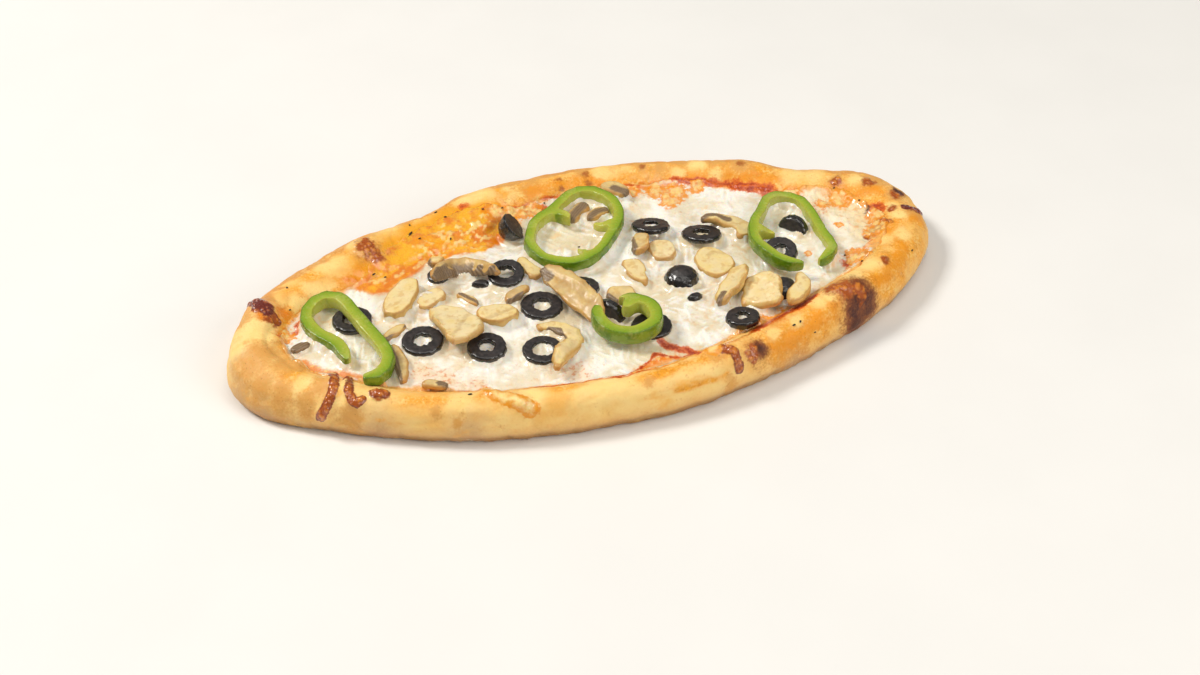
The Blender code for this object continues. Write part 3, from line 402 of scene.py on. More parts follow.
def brim():
    """The upper edge of the cheese's solid, as a search tree of places a little apart."""
    shaper = bmesh.new()
    shaper.from_mesh(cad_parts["cheese"].data)
    bmesh.ops.remove_doubles(shaper, verts=shaper.verts, dist=0.01 * MM)
    places = []
    for edge in shaper.edges:
        first, second = (face.normal.z > 0.5 for face in edge.link_faces)
        if first != second and edge.verts[0].co.z > BRIM_OVER * MM:
            start, end = np.array([vertex.co for vertex in edge.verts]) / MM
            places += [start + (end - start) * share for share in np.arange(0, 1, 0.2)]
    shaper.free()
    tree = kdtree.KDTree(len(places))
    for index, place in enumerate(places):
        tree.insert((place[0], place[1], 0), index)
    tree.balance()
    return tree


def from_brim(points):
    """How far each point is from the brim of the solid cheese, and how far the cheese reaches there."""
    flat = points * (1, 1, 0)
    tree = brim()
    away = np.array([tree.find(place)[2] for place in flat.tolist()])
    patchy = clouds(flat, 6.0, 7) + 0.35 * clouds(flat, 2.2, 8)
    reach = CREEP + (0.9 + 1.4 * ramp(flat[:, 0], 85, 115)) * patchy
    for x, y, further, radius in CLIMBS:
        bump = np.exp(-((flat[:, 0] - x) ** 2 + (flat[:, 1] - y) ** 2) / radius ** 2)
        reach = reach + further * bump * (1 + 0.25 * patchy)
    return away, reach


def hollow_floor(skin, top, times, level):
    """Where a skin is the floor of the hollow, which the cheese hides: low, and facing up."""
    height = skin.points[:, 2]
    return (height > FLOOR_OVER) & (height < top) & (skin.blurred(skin.normals()[:, 2], times) > level)


def right_tip(points, start, full):
    """0 before start and 1 past full along the bread, slanted as its right tip is."""
    return ramp(points[:, 0] + 0.3 * points[:, 1], start, full)


DOUGH_PITCH = 1.3  # squares of the first skin
FLOOR_OVER = 6.0  # height that the floor of the hollow is over
HIDDEN_SHARE = 0.42  # of the first skin's faces kept, thinned out where nothing shows
WAVE, RIPPLE, GRAIN = 0.42, 0.2, 0.07  # unevenness of the dough, broad, middling and fine
PUCKER = 0.3  # depth of the fine valleys in it
BUBBLE, LIP, FOAM, RUN = 0.42, 0.45, 0.2, 0.15  # how far bubbles, dark edges, froth and drips stand out
SOLE = 0.04  # height of the flat underside

dough = grown("crust", DOUGH_PITCH)
plain = Skin(dough)
low_side = (plain.points[:, 2] < 0.6) & (plain.blurred(plain.normals()[:, 2], 8) < -0.97)
dough = changed(dough, "DECIMATE", ratio=HIDDEN_SHARE, weights=low_side | hollow_floor(plain, 8.2, 3, 0.7))
shown = Skin(dough)
dough = divided(dough, (shown.points[:, 2] > 2.0) & ~hollow_floor(shown, 9.0, 2, 0.6))
dough = divided(dough, baked(Skin(dough).points)["crisp"] > 0.35)
crust = Skin(dough)
bake = baked(crust.points)
crust.smooth(6, 1 - 0.8 * ramp(bake["crisp"], 0.2, 0.6))
lift = (WAVE * crust.clouds(15.0, 4) + RIPPLE * crust.clouds(5.0, 5) + GRAIN * crust.clouds(1.9, 6)
        - PUCKER * np.exp(-60 * crust.clouds(12.0, 13) ** 2))
lift *= ramp(crust.points[:, 2], 0.4, 3.0)
caps = np.maximum(froth(crust.points, 2.8, 1), 0.8 * froth(crust.points, 1.7, 2))
caps *= ramp(bake["crisp"], 0.2, 0.55) * (1 - 0.7 * ramp(bake["golden"], 0.2, 0.5))
crust.push(SWELL * near(crust.points, SWELLS))
crust.push(lift + BUBBLE * caps + LIP * bake["ridge"] + FOAM * bake["froth"] + RUN * bake["drip"])
sole = ramp(-crust.normals()[:, 2], 0.5, 0.9) * (crust.points[:, 2] < 3)
crust.points[:, 2] += (SOLE - crust.points[:, 2]) * sole
normals = crust.normals()
away, reach = from_brim(crust.points)
past = np.clip(away - reach, -3, 30)
x, y, z = crust.points.T
back = ramp(y, 5, 40) * ramp(x, -96, -80)
soaked = 3.5 + 9 * right_tip(crust.points, 85, 115) + 4 * back
crust.mark(soak=1 - ramp(past + 1.5 * crust.clouds(5.0, 14), 0.3, soaked),
           shore=1 - ramp(past + 0.6 * crust.clouds(3.0, 15), 0.2, 1.6),
           red_edge=near(crust.points, RED_EDGES) * np.exp(-(past / 0.7) ** 2),
           # painted shade: a darker orange on slopes that face the back, along the far silhouette
           behind=ramp(normals[:, 1], -0.05, 0.35) * ramp(y, 0, 25) * ramp(away, 4, 9),
           under=ramp(-normals[:, 2], 0.6, 0.95), caps=caps, height=z, **bake)


def paint(code):
    """A colour from its six-digit code, as the shader takes it."""
    parts = [int(code[k:k + 2], 16) / 255 for k in (0, 2, 4)]
    return (*[c / 12.92 if c < 0.04045 else ((c + 0.055) / 1.055) ** 2.4 for c in parts], 1.0)


class Wire:
    """A socket of a material; arithmetic on it adds the Math nodes."""

    def __init__(self, tree, socket=None):
        self.tree, self.socket = tree, socket

    def node(self, kind, settings=None, values=None, output=0):
        """Adds a node, sets it up, feeds its sockets values or wires, and gives one output."""
        made = self.tree.nodes.new(kind)
        for name, value in (settings or {}).items():
            setattr(made, name, value)
        for key, value in (values or {}).items():
            if isinstance(value, Wire):
                self.tree.links.new(value.socket, made.inputs[key])
            else:
                made.inputs[key].default_value = value
        return Wire(self.tree, made.outputs[output])

    def math(self, operation, *terms):
        return self.node("ShaderNodeMath", {"operation": operation}, dict(enumerate(terms)))

    def __add__(self, other):
        return self.math("ADD", self, other)

    def __sub__(self, other):
        return self.math("SUBTRACT", self, other)

    def __rsub__(self, other):
        return self.math("SUBTRACT", other, self)

    def __mul__(self, other):
        return self.math("MULTIPLY", self, other)

    __radd__, __rmul__ = __add__, __mul__

    def __getitem__(self, name):
        """A value that the mesh keeps at its points."""
        return self.node("ShaderNodeAttribute", {"attribute_name": name}, output="Fac")

    def spot(self):
        """The place on the piece, in metres."""
        return self.node("ShaderNodeTexCoord", output="Object")

    def grain(self, size, detail=3.0, place=None):
        """Noise in lumps of that size in millimetres, from about -0.2 to 0.2."""
        return self.node("ShaderNodeTexNoise", {"noise_dimensions": "3D"},
                         {"Vector": place or self.spot(), "Scale": 1 / (size * MM), "Detail": detail}) - 0.5

    def step(self, low, high, most=1.0):
        """0 below low and most above high, eased between."""
        return self.node("ShaderNodeMapRange", {"interpolation_type": "SMOOTHSTEP"},
                         {"Value": self, "From Min": low, "From Max": high, "To Max": most})

    def over(self, under, colour):
        """This share of a colour laid over another; a colour is a wire or a six-digit code."""
        under, colour = (paint(c) if isinstance(c, str) else c for c in (under, colour))
        return self.node("ShaderNodeMix", {"data_type": "RGBA"}, {0: self, 6: under, 7: colour}, 2)


def coated(colour, palette, *coats):
    """A colour under coats, each a share and the name of its paint or a wire."""
    for share, name in coats:
        colour = share.over(colour, palette[name] if isinstance(name, str) else name)
    return colour


def surface(name, **constants):
    """A new material, a wire of it to start from, and a function that feeds its shader."""
    material = bpy.data.materials.new(name)
    material.use_nodes = True
    shader = material.node_tree.nodes["Principled BSDF"]
    for socket, value in constants.items():
        shader.inputs[socket.replace("_", " ")].default_value = value

    def feed(**wires):
        for socket, wire in wires.items():
            material.node_tree.links.new(wire.socket, shader.inputs[socket.replace("_", " ")])
    return material, Wire(material.node_tree), feed


def rough_skin(wire, height, depth, strength):
    """A Bump node over a height, that many millimetres deep."""
    values = {"Height": height, "Distance": depth * MM, "Strength": strength}
    return wire.node("ShaderNodeBump", None, values, "Normal")


# Colours of the dough. The grey, foot and sole colours and the one for back-facing slopes carry painted
# shade; glow carries painted highlight.
DOUGH = {
    "pale_and_highlight": "FFDA8E", "dough": "F6BC60", "gold": "F4A62A", "tan": "E0A454", "brown": "A0541C",
    "char": "4A2218", "oil": "EA8408", "sauce": "AA3410", "foot": "DAAC74", "sole": "A67846",
    "grey_and_shade": "C09068", "crisp": "A8500E", "crisp_top": "D98426", "maroon": "6E2415",
    "maroon_top": "BC6430", "behind": "D99444", "flour": "F0DEBC", "bottom": "CF9A58",
    "lump": "FCDA8C", "overflow": "F4A81E", "splash": "DE6414", "burnt": "8A4820", "black": "4C2A20",
    "golden_drip": "E8961E", "amber": "F0960A", "saffron": "FAB52A", "toast": "D88414", "glow": "FFDA8A"}


def browned(w, base):
    """Browning, oil and sauce laid over a base colour, with ragged edges; bubble tops partly painted
    highlight.
    """
    ragged = w.grain(3.4, 5.0) * 1.2 + w.grain(0.9, 2.0) * 0.7
    pitted = w.grain(1.6)
    stained = w["amber"] - w["pale_and_highlight"] * 0.9 + ragged * 1.1 + w.grain(7.0) * 1.6
    saucy = w["sauce"].step(0.04, 0.3, 0.9)
    frothy = (w["froth"] + w.grain(2.4, 4.0) * 1.8).step(0.2, 0.8) * w["froth"].step(0.04, 0.3)
    bubbly = w["caps"] + pitted * 1.1
    # Bubble tops lighter than between them: browned colour, partly painted highlight.
    bubbled = bubbly.step(0.1, 1.2).over(DOUGH["crisp"], DOUGH["crisp_top"])
    crisped = (w["drip"] + pitted * 0.6).step(0.3, 0.55)
    lip = crisped * w["drip"].step(0.3, 0.5) * (1 - w["drip"].step(0.5, 0.8))
    centre = (w["golden"] + w.grain(3.4) * 1.8).step(0.45, 1.15)
    return coated(
        base, DOUGH,
        ((w["tan"] - w["pale_and_highlight"] * 0.7 + ragged * 0.8).step(0.05, 0.95), "tan"),
        (stained.step(0.15, 1.1) * w["amber"].step(0.02, 0.2, 0.8), "amber"),
        ((w["oil"] + ragged * 0.8).step(0.15, 1.1, 0.9), "oil"),
        ((w["fried"] + ragged * 0.8).step(0.1, 1.0, 0.85), "oil"),
        ((w["brown"] + ragged).step(0.3, 1.1, 0.85), "brown"),
        ((w["sauce"] + ragged).step(0.15, 0.6) * saucy, "splash"),
        ((w["sauce"] + ragged * 1.5).step(0.5, 1.1) * saucy, "sauce"),
        ((w["red_edge"] + ragged * 0.5).step(0.2, 0.55, 0.85), "splash"),
        ((w["red_edge"] + ragged * 0.9).step(0.55, 0.9, 0.8), "sauce"),
        ((w["burn"] + ragged * 0.7).step(0.1, 0.75, 0.95), "burnt"),
        ((w["burn"] + ragged * 0.9).step(0.45, 1.15, 0.9), "black"),
        ((w["char"] + ragged * 0.9).step(0.35, 1.0), "char"),
        (frothy, bubbled), (crisped, bubbled), (lip * 0.7, "maroon"),
        ((w["golden"] + pitted * 0.6).step(0.2, 0.4), centre.over(DOUGH["golden_drip"], DOUGH["lump"])),
        # The ridge's bubble tops are likewise lighter, partly painted highlight.
        ((w["ridge"] + pitted * 0.5).step(0.3, 0.55),
         bubbly.step(0.2, 1.1).over(DOUGH["maroon"], DOUGH["maroon_top"])))


crust_finish, w, feed = surface("baked_dough", Subsurface_Weight=0.12, Subsurface_Scale=0.003,
                                Specular_IOR_Level=0.35, Coat_Roughness=0.18)
lengthways = w.node("ShaderNodeMapping", None, {"Vector": w.spot(), "Scale": (0.4, 1.0, 1.0)})
broad, middle, fine = w.grain(24.0), w.grain(6.0, 5.0, lengthways), w.grain(1.0)
patchy, grainy = w.grain(3.6, 7.0), w.grain(0.9, 5.0)
# Lighter where broad noise and the pale spots lift it; those spots are partly painted highlight.
lightness = broad * 1.4 + w["pale_and_highlight"] * 0.5 - w["gold"] * 0.2 + middle * 0.5
toasted = (w["gold"] + w["tan"] + w["soak"] * 1.2 + w["over"]).step(0.1, 0.9)
floury = (w.grain(9.0, 5.0) + fine * 0.3).step(-0.08, 0.12).over(DOUGH["bottom"], DOUGH["flour"])
base = coated(
    lightness.step(-0.25, 0.25).over(DOUGH["dough"], DOUGH["pale_and_highlight"]), DOUGH,
    ((w["gold"] + middle * 2.2 + broad * 1.2).step(0.05, 1.1), "gold"),
    # Darker towards the bottom: the lower sides' own tan, deepened with painted shade near the floor.
    ((0 - w["height"]).step(-10.0, -1.5, 0.85), "foot"),
    ((0 - w["height"]).step(-6.0, -0.5, 0.9), "sole"),
    # painted shade low on the sides and at the left end, with some greyish mottling
    (w["grey_and_shade"] * 0.7, "grey_and_shade"),
    # painted shade: darker orange on the slopes that face the back
    ((w["behind"] + middle * 1.4).step(0.1, 0.9, 0.9), "behind"),
    ((w["soak"] + middle * 2.8 + broad + fine * 0.5).step(0.3, 1.15), "gold"),
    (patchy.step(0.0, 0.18, 0.65) * toasted, "toast"),
    ((0 - patchy).step(0.02, 0.18, 0.6) * toasted, "glow"),
    (grainy.step(0.0, 0.25) * (toasted * 0.4 + 0.12), "toast"),
    ((0 - grainy).step(0.0, 0.25) * (toasted * 0.3 + 0.2), "glow"),
    # painted highlights: the pale spots, lifted towards the near-white glow colour
    ((w["pale_and_highlight"] + middle * 1.6 + patchy * 1.2).step(0.05, 0.9, 0.8), "glow"),
    ((w["shore"] + w.grain(4.0) * 2.6).step(0.7, 1.1, 0.8), "oil"),
    ((w["over"] * 1.1 + middle).step(0.05, 0.7), "overflow"))
specks = w.grain(0.7, 2.0).step(0.14, 0.24, 0.45) * (w["gold"] + w["soak"] + w["tan"]).step(0.1, 0.8)
base = coated(browned(w, base), DOUGH, (specks, "brown"), (w["under"], floury))
shine = (w["over"] + w["oil"] + w["fried"] + w["crisp"] * 1.5
         + (w["soak"] + w["gold"]) * (middle + 0.3) - w["burn"] * 0.9).step(0.2, 1.1)
feed(Base_Color=base, Roughness=0.56 - shine * 0.3 + fine * 0.3, Coat_Weight=shine * 0.8,
     Normal=rough_skin(w, fine * 0.6 + w.grain(3.0) * 0.9 + w.grain(0.4, 2.0) * 0.25, 0.35, 0.7))
crust_piece = crust.laid("dough", crust_finish, "crust", "crust")

# -----------------------------------------------------------------------------
# The cheese: a molten layer of white cheese that fills the boat, creeps up its inner slope and
# over the slumped back edge, where it went orange with oil. It is a fine sheet of heights laid
# on the dough, raised where a topping is stuck in it, and closed underneath.
CHEESE_PITCH = 0.62  # spacing of the sheet's points
MARGIN = 22.0  # how far round the layer the sheet is tried
LEVEL = 12.6  # its top where it has no solid
FILM, TAPER = 0.55, 1.4  # how thick it lies on the slope of the dough, and how soon it is that thick
BLEND = 1.2  # how near the pool and the film are where they run into each other
CHEESE_FLOOR = 7.6  # its underside
DIVE = 2.4  # how far the sheet's hidden border goes on under the dough
SHRED_LENGTH, SHRED_WIDTH = 5.5, 1.3
ABOVE, UNDER = 90, 2  # heights above the whole bread, and below all its toppings


def corners(node):
    """A solid's lowest and highest corners."""
    return [np.array(corner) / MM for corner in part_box(node)]


def hit(piece, x, y, start, heading):
    """The height at which a plumb line from that height meets a piece, or nothing."""
    found, place, _, _ = piece.ray_cast(Vector((x * MM, y * MM, start * MM)), Vector((0, 0, heading)))
    return place.z / MM if found else None


def heights(piece, missing):
    """A piece's top over the whole sheet."""
    rows = [hit(piece, x, y, ABOVE, -1) for x, y in zip(flat_x.ravel(), flat_y.ravel())]
    return np.array([missing if row is None else row for row in rows]).reshape(flat_x.shape)


def spread(field, cells):
    """A field averaged over a square that many cells each way, twice."""
    for _ in range(2):
        for axis in (0, 1):
            field = sum(np.roll(field, shift, axis) for shift in range(-cells, cells + 1)) / (2 * cells + 1)
    return field


low, high = corners("cheese")
xs, ys = (np.arange(low[k] - MARGIN, high[k] + MARGIN, CHEESE_PITCH) for k in (0, 1))
flat_x, flat_y = np.meshgrid(xs, ys, indexing="ij")
bpy.context.view_layer.update()
dough_top = heights(crust_piece, -5.0)
filled = heights(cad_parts["cheese"], -1.0)
inside = filled > 0
cover = spread(inside.astype(float), 3)
level = spread(np.where(inside, filled, 0.0), 3) / np.maximum(cover, 0.02)
level = np.where(cover > 0.02, level, LEVEL)
flat_points = np.column_stack([flat_x.ravel(), flat_y.ravel(), np.full(flat_x.size, LEVEL)])
away, reach = (field.reshape(flat_x.shape) for field in from_brim(flat_points))
spare = reach - np.where(inside, -away, away)
film = np.where(spare > 0, FILM * np.sqrt(np.clip(spare, 0, TAPER) / TAPER), 0.9 * spare)
on_dough = dough_top + film
meeting = np.clip(BLEND - np.abs(level - on_dough), 0, None)
top = np.maximum(level, on_dough) + meeting ** 2 / (4 * BLEND)

# A topping that all but touches is sunk in the cheese, which climbs its sides a little. This is how
# much of a topping's thickness, up to that of a thick slice, is in the cheese.
STUCK_BELOW, THICK_SLICE = 2.2, 5.0
SUNK = {"pepper": 0.42, "olive": 0.44, "mushroom": 0.78, "mushroom_02": 0.94, "mushroom_14": 0.86,
        "mushroom_11": 0.84, "mushroom_08": 0.8, "mushroom_12": 0.8, "mushroom_06": 0.8}
hold, stuck = np.zeros(flat_x.shape), np.zeros(flat_x.shape)
for name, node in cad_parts.items():
    kind = name.split("_")[0]
    if kind not in SUNK:
        continue
    low, high = corners(name)
    for i in np.flatnonzero((xs >= low[0]) & (xs <= high[0])):
        for j in np.flatnonzero((ys >= low[1]) & (ys <= high[1])):
            under = hit(node, xs[i], ys[j], UNDER, 1)
            if under is not None and under - top[i, j] < STUCK_BELOW:
                thick = min(hit(node, xs[i], ys[j], ABOVE, -1) - under, THICK_SLICE)
                hold[i, j] = max(hold[i, j], under + SUNK.get(name, SUNK[kind]) * thick)
                stuck[i, j] = 1
for cells, share, full in ((2, 1.0, 0.62), (5, 0.4, 0.7)):
    grip = spread(stuck, cells)
    climb = spread(hold, cells) / np.maximum(grip, 0.01)
    top = top + share * np.clip(climb - top, 0, None) * ramp(grip, 0.02, full) * (spare > 0)

keep = spare > -DIVE
number = np.full(flat_x.shape, -1)
number[keep] = np.arange(keep.sum())
squares = np.stack([number[:-1, :-1], number[1:, :-1], number[1:, 1:], number[:-1, 1:]], axis=-1)
squares = squares.reshape(-1, 4)
squares = squares[(squares >= 0).all(axis=1)]
sheet_points = np.column_stack([flat_x[keep], flat_y[keep], top[keep]])
cheese_mesh = mesh_of("cheese", sheet_points, squares.tolist())
Skin(cheese_mesh).mark(spare=np.clip(spare, -1, 12)[keep], grip=spread(stuck, 4)[keep])
shaper = bmesh.new()
shaper.from_mesh(cheese_mesh)
bmesh.ops.delete(shaper, geom=[v for v in shaper.verts if not v.link_faces], context="VERTS")
wall = bmesh.ops.extrude_edge_only(shaper, edges=[e for e in shaper.edges if e.is_boundary])["geom"]
for vertex in (part for part in wall if isinstance(part, bmesh.types.BMVert)):
    vertex.co.z = CHEESE_FLOOR * MM
bmesh.ops.contextual_create(shaper, geom=[e for e in shaper.edges if e.is_boundary])
bmesh.ops.recalc_face_normals(shaper, faces=shaper.faces)
shaper.to_mesh(cheese_mesh)
shaper.free()


def turned_by(points, turn):
    """How far each point is along a direction in degrees, and how far to the left of it."""
    cosine, sine = math.cos(math.radians(turn)), math.sin(math.radians(turn))
    return points[:, 0] * cosine + points[:, 1] * sine, points[:, 1] * cosine - points[:, 0] * sine


def shreds(points, turn, seed):
    """Half-melted shreds of grated cheese lying one way: 1 along their backs, 0 between them."""
    run, side = turned_by(points, turn)
    lines = clouds(np.column_stack([run / SHRED_LENGTH, side / SHRED_WIDTH, np.zeros(len(run))]), 1.0, seed)
    return ramp(lines, 0.05, 0.5)


cheese = Skin(cheese_mesh)
bake = baked(cheese.points)
upward = cheese.points[:, 2] > CHEESE_FLOOR + 0.1
right_end = right_tip(cheese.points, 94, 120)
lumps = ramp(cheese.clouds(2.6, 3) + 0.7 * cheese.clouds(1.4, 4), -0.05, 0.5)
lumps *= np.clip(bake["lumps"] * 1.4 + 0.2 * bake["over"] + 0.8 * right_end, 0, 1)
frying = ramp(bake["fried"], 0.2, 0.6) + ramp(bake["oil"], 0.2, 0.6)
bubbles = np.maximum(froth(cheese.points, 3.8, 3), 0.8 * froth(cheese.points, 2.0, 4))
bubbles *= np.clip(frying + 0.4 * ramp(bake["over"], 0.3, 0.8) + 0.5 * right_end, 0, 1)
blisters = froth(cheese.points, 3.4, 9) * ramp(cheese.clouds(14.0, 6), 0.0, 0.4)
grated = np.zeros(len(cheese.points))
for seed, turn in ((31, 10), (32, 75), (33, 140)):
    here = ramp(cheese.clouds(15.0, seed), -0.05, 0.25)
    grated = np.maximum(grated, here * shreds(cheese.points, turn, seed))
grated *= 1 - ramp(bake["over"], 0.2, 0.5)
folds = np.exp(-40 * cheese.clouds(8.0, 17) ** 2) * ramp(cheese.clouds(18.0, 18), -0.2, 0.2)
rise = (0.5 * cheese.clouds(9.0, 8) + 0.24 * cheese.clouds(3.2, 9) + 0.1 * cheese.clouds(1.4, 10)
        + 0.55 * lumps + 0.4 * bubbles + 0.2 * blisters + 0.32 * grated - 0.28 * folds)
cheese.points[:, 2] += rise * upward
strip = column(cheese.mesh.attributes["spare"].data, "value", 1)[:, 0]
cheese.mark(pale_lumps=lumps, caps=bubbles, celled=np.clip(frying + 0.3 * right_end, 0, 1),
            right_end=right_end, grated=grated,
            red_edge=near(cheese.points, RED_EDGES) * np.exp(-(strip / 0.8) ** 2), **bake)

CHEESE = dict(DOUGH, white="F9F5EB", cream="EEE2C8", clear="E0CFA6", blush="F0C48C", stain="E0B06C",
              pale_end="F8E0AC", freckle="E08A4C")
cheese_finish, w, feed = surface("molten_cheese", Subsurface_Weight=0.5, Subsurface_Scale=0.002,
                                 Subsurface_Radius=(1.0, 0.75, 0.5), Specular_IOR_Level=0.5,
                                 Coat_Roughness=0.12)
patches, spots, fine = w.grain(14.0, 4.0), w.grain(4.0, 4.0), w.grain(1.0)
ridged, end = w["grated"], w["right_end"]
inland = (w["spare"] + spots * 5.0 + patches * 6.0 - end * 2.8).step(0.3, 2.6)
oiled = (patches + spots * 0.8 + fine * 0.2).step(-0.12, 0.16).over(CHEESE["saffron"], CHEESE["oil"])
freckles = (w.grain(1.4, 4.0) + spots * 0.5).step(0.03, 0.16, 0.65) * w["freckled"].step(0.08, 0.7)
fried = w["oil"] + w.grain(1.8, 4.0) * 1.4
base = coated(
    CHEESE["white"], CHEESE,
    # Shred backs kept whiter than the cream between: partly their own white, partly painted highlight.
    ((patches + spots * 0.4 - ridged * 0.16).step(-0.14, 0.1), "cream"),
    ((w.grain(20.0) + spots * 0.2 - ridged * 0.2).step(-0.02, 0.14, 0.5), "clear"),
    (spots.step(0.06, 0.2) * w.grain(28.0).step(-0.05, 0.08, 0.5), "blush"),
    ((w["grip"] + spots * 1.2).step(0.25, 0.95, 0.25), "stain"),
    (end * 0.8, "pale_end"),
    ((end + spots * 3.0 + patches).step(0.7, 1.3, 0.55), "blush"),
    (0.85 - inland * 0.85, "gold"),
    ((end * 0.9 + spots * 2.6).step(0.85, 1.6, 0.75), "amber"),
    ((w["over"] * 1.3 + patches * 0.5 + spots * 0.5).step(0.3, 0.6), oiled),
    (w["pale_lumps"].step(0.15, 0.9) * (w["over"] + w["lumps"]).step(0.2, 0.5, 0.8), "lump"),
    (w["freckled"].step(0.1, 0.9, 0.4), "blush"), (freckles, "freckle"))
base = coated(
    browned(w, base), CHEESE,
    (fried.step(0.12, 0.4, 0.9) * (1 - fried.step(0.5, 0.95)) * w["oil"].step(0.04, 0.25), "amber"),
    (fried.step(0.5, 1.1, 0.85), "lump"),
    ((w["caps"] + fine * 0.6).step(0.2, 0.9, 0.75) * w["celled"], "lump"))
texture = spots * 0.9 + fine * (ridged * 0.4 + 0.3) + ridged * 0.2 + w.grain(0.4) * 0.08
feed(Base_Color=base, Roughness=0.3 + spots * 0.5, Normal=rough_skin(w, texture, 0.5, 0.75),
     Coat_Weight=w["over"] * 0.4 + (patches + spots).step(-0.2, 0.1))
cheese.laid("cheese_layer", cheese_finish, "cheese", "cheese")

# -----------------------------------------------------------------------------
# The olives: black olives cut across into rings, with ends, halves and scraps among them. Their
# skin is near black, wet and wrinkled, and the cut flesh is purple-grey. Each is grown from its
# solid, and its round is told from its cut by the way most of its surface faces.
OLIVE_PITCH = 0.42
OLIVE = {"black": "0B0909", "sheen": "1A1513", "flesh": "1E1A1B", "pale_flesh": "3A3331"}


def toppings(kind):
    """The solids of one kind of topping, each with its number."""
    return [(name, int(name.split("_")[1])) for name in sorted(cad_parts) if name.startswith(kind)]


def cut_way(node):
    """The middle of a solid, and the direction that most of its surface faces or turns its back to."""
    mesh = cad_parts[node].data
    normals = column(mesh.polygons, "normal", 3)
    areas = column(mesh.polygons, "area", 1)
    middles = column(mesh.polygons, "center", 3) / MM
    _, turns = np.linalg.eigh((normals * areas).T @ normals)
    axis = turns[:, -1] if turns[2, -1] >= 0 else -turns[:, -1]
    return (middles * areas).sum(axis=0) / areas.sum(), axis


olive_finish, w, feed = surface("black_olive", Specular_IOR_Level=0.6, Coat_Roughness=0.15)
base = w["cut"].over(w.grain(3.0).step(-0.15, 0.2).over(OLIVE["black"], OLIVE["sheen"]),
                     w.grain(1.4, 5.0).step(-0.15, 0.2).over(OLIVE["flesh"], OLIVE["pale_flesh"]))
feed(Base_Color=base, Roughness=0.24 + w["cut"] * 0.22 + w.grain(1.5) * 0.4,
     Coat_Weight=(1 - w["cut"]) * 0.5,
     Normal=rough_skin(w, w.grain(1.0) * 0.6 + w.grain(0.35, 2.0) * 0.3, 0.3, 0.7))
for name, number in toppings("olive"):
    olive = Skin(grown(name, OLIVE_PITCH))
    middle_place, axis = cut_way(name)
    olive.smooth(4)
    olive.smooth(10, -0.7)
    offset = olive.points - middle_place
    lengthwise = np.outer(offset @ axis, axis)
    out = np.linalg.norm(offset - lengthwise, axis=1)
    cut = ramp(olive.blurred(np.abs(olive.normals() @ axis), 2), 0.72, 0.92)
    radial = (offset - lengthwise) / np.maximum(out, 0.3)[:, None]
    bore = ramp(-(olive.normals() * radial).sum(axis=1), 0.2, 0.7)
    wrinkle = clouds(offset - 0.75 * lengthwise, 1.3, number)
    olive.push(0.16 * wrinkle * (1 - cut) + 0.14 * olive.clouds(3.4, number + 40)
               + 0.7 * bore * clouds(radial * 2.2, 1.0, number) - 0.15 * cut * ramp(out, 2.0, 5.0)
               + 0.09 * olive.clouds(1.0, number))
    olive.mark(cut=cut)
    olive.laid(name + "_flesh", olive_finish, "olive", name)

# -----------------------------------------------------------------------------
# The pepper: thin rings of green pepper, one whole and three cut open. Skin outside, glossy and
# deep green; the cut edge paler, the inner wall and the ribs yellow-green. Which side is skin is
# told from a line through the heart of each ring.
PEPPER_PITCH = 0.5
SIDE_ON = 0.35  # how squarely a wall has to face the heart for its side to be certain
SIDE_SPREADS = 160  # how many times the certain sides then spread to their neighbours
HEARTS = {1: ((-103.5, 6), (-98.5, -8), (-94.5, -22), (-94.5, -28)),
          2: ((-8, 17), (4, 26), (12, 39)),
          3: ((-2, -34.5), (6.5, -36)),
          4: ((78, -13), (82, -2), (86, 10))}
RIBS = ((0.5, 32, 17, 5), (10.5, 26.5, 17, 4.6), (-1.4, 13, 17, 4),
        (4, -25, 17, 4), (75, -2.4, 17, 4.4))
PEPPER = {"heart_edge": "AAB23C", "edge": "9CAE30", "skin_edge": "84A022", "rind": "54760A",
          "inner": "B8BE4C", "skin": "587E08", "light_skin": "7E9C18", "rib": "CCC448", "bloom": "C8C670"}
pepper_finish, w, feed = surface("green_pepper", Subsurface_Weight=0.15, Subsurface_Scale=0.003,
                                 Specular_IOR_Level=0.6)
mottle = w.grain(5.0)
side = w["side"] + w.grain(2.0) * 0.2
edge = coated(side.step(0.0, 0.5).over(PEPPER["heart_edge"], PEPPER["edge"]), PEPPER,
              (side.step(0.35, 0.85), "skin_edge"), (side.step(0.84, 0.95, 0.7), "rind"))
skin = mottle.step(-0.15, 0.15).over(PEPPER["skin"], PEPPER["light_skin"])
base = coated(side.step(0.4, 0.6).over(PEPPER["inner"], skin), PEPPER,
              (w["face"].step(0.35, 0.65), edge), (w["rib"] * 0.6, "rib"),
              ((w.grain(8.0, 4.0) + w.grain(1.0) * 0.4).step(0.0, 0.18, 0.3), "bloom"))
feed(Base_Color=base, Roughness=0.26 + mottle * 0.3,
     Normal=rough_skin(w, (w.grain(1.6) + 0.5) * w["face"] + w.grain(3.0) * 0.4, 0.4, 0.6))


def level_with(points, cell, reach):
    """The highest point of a piece near each of its points, within that reach, seen from above."""
    places = ((points[:, :2] - points[:, :2].min(axis=0)) / cell).astype(int) + reach
    size = places.max(axis=0) + reach + 1
    tallest = np.full(size, -1e3)
    np.maximum.at(tallest, (places[:, 0], places[:, 1]), points[:, 2])
    widest = tallest.copy()
    for i in range(-reach, reach + 1):
        for j in range(-reach, reach + 1):
            if i * i + j * j <= reach * reach:
                widest = np.maximum(widest, np.roll(tallest, (i, j), (0, 1)))
    return widest[places[:, 0], places[:, 1]]


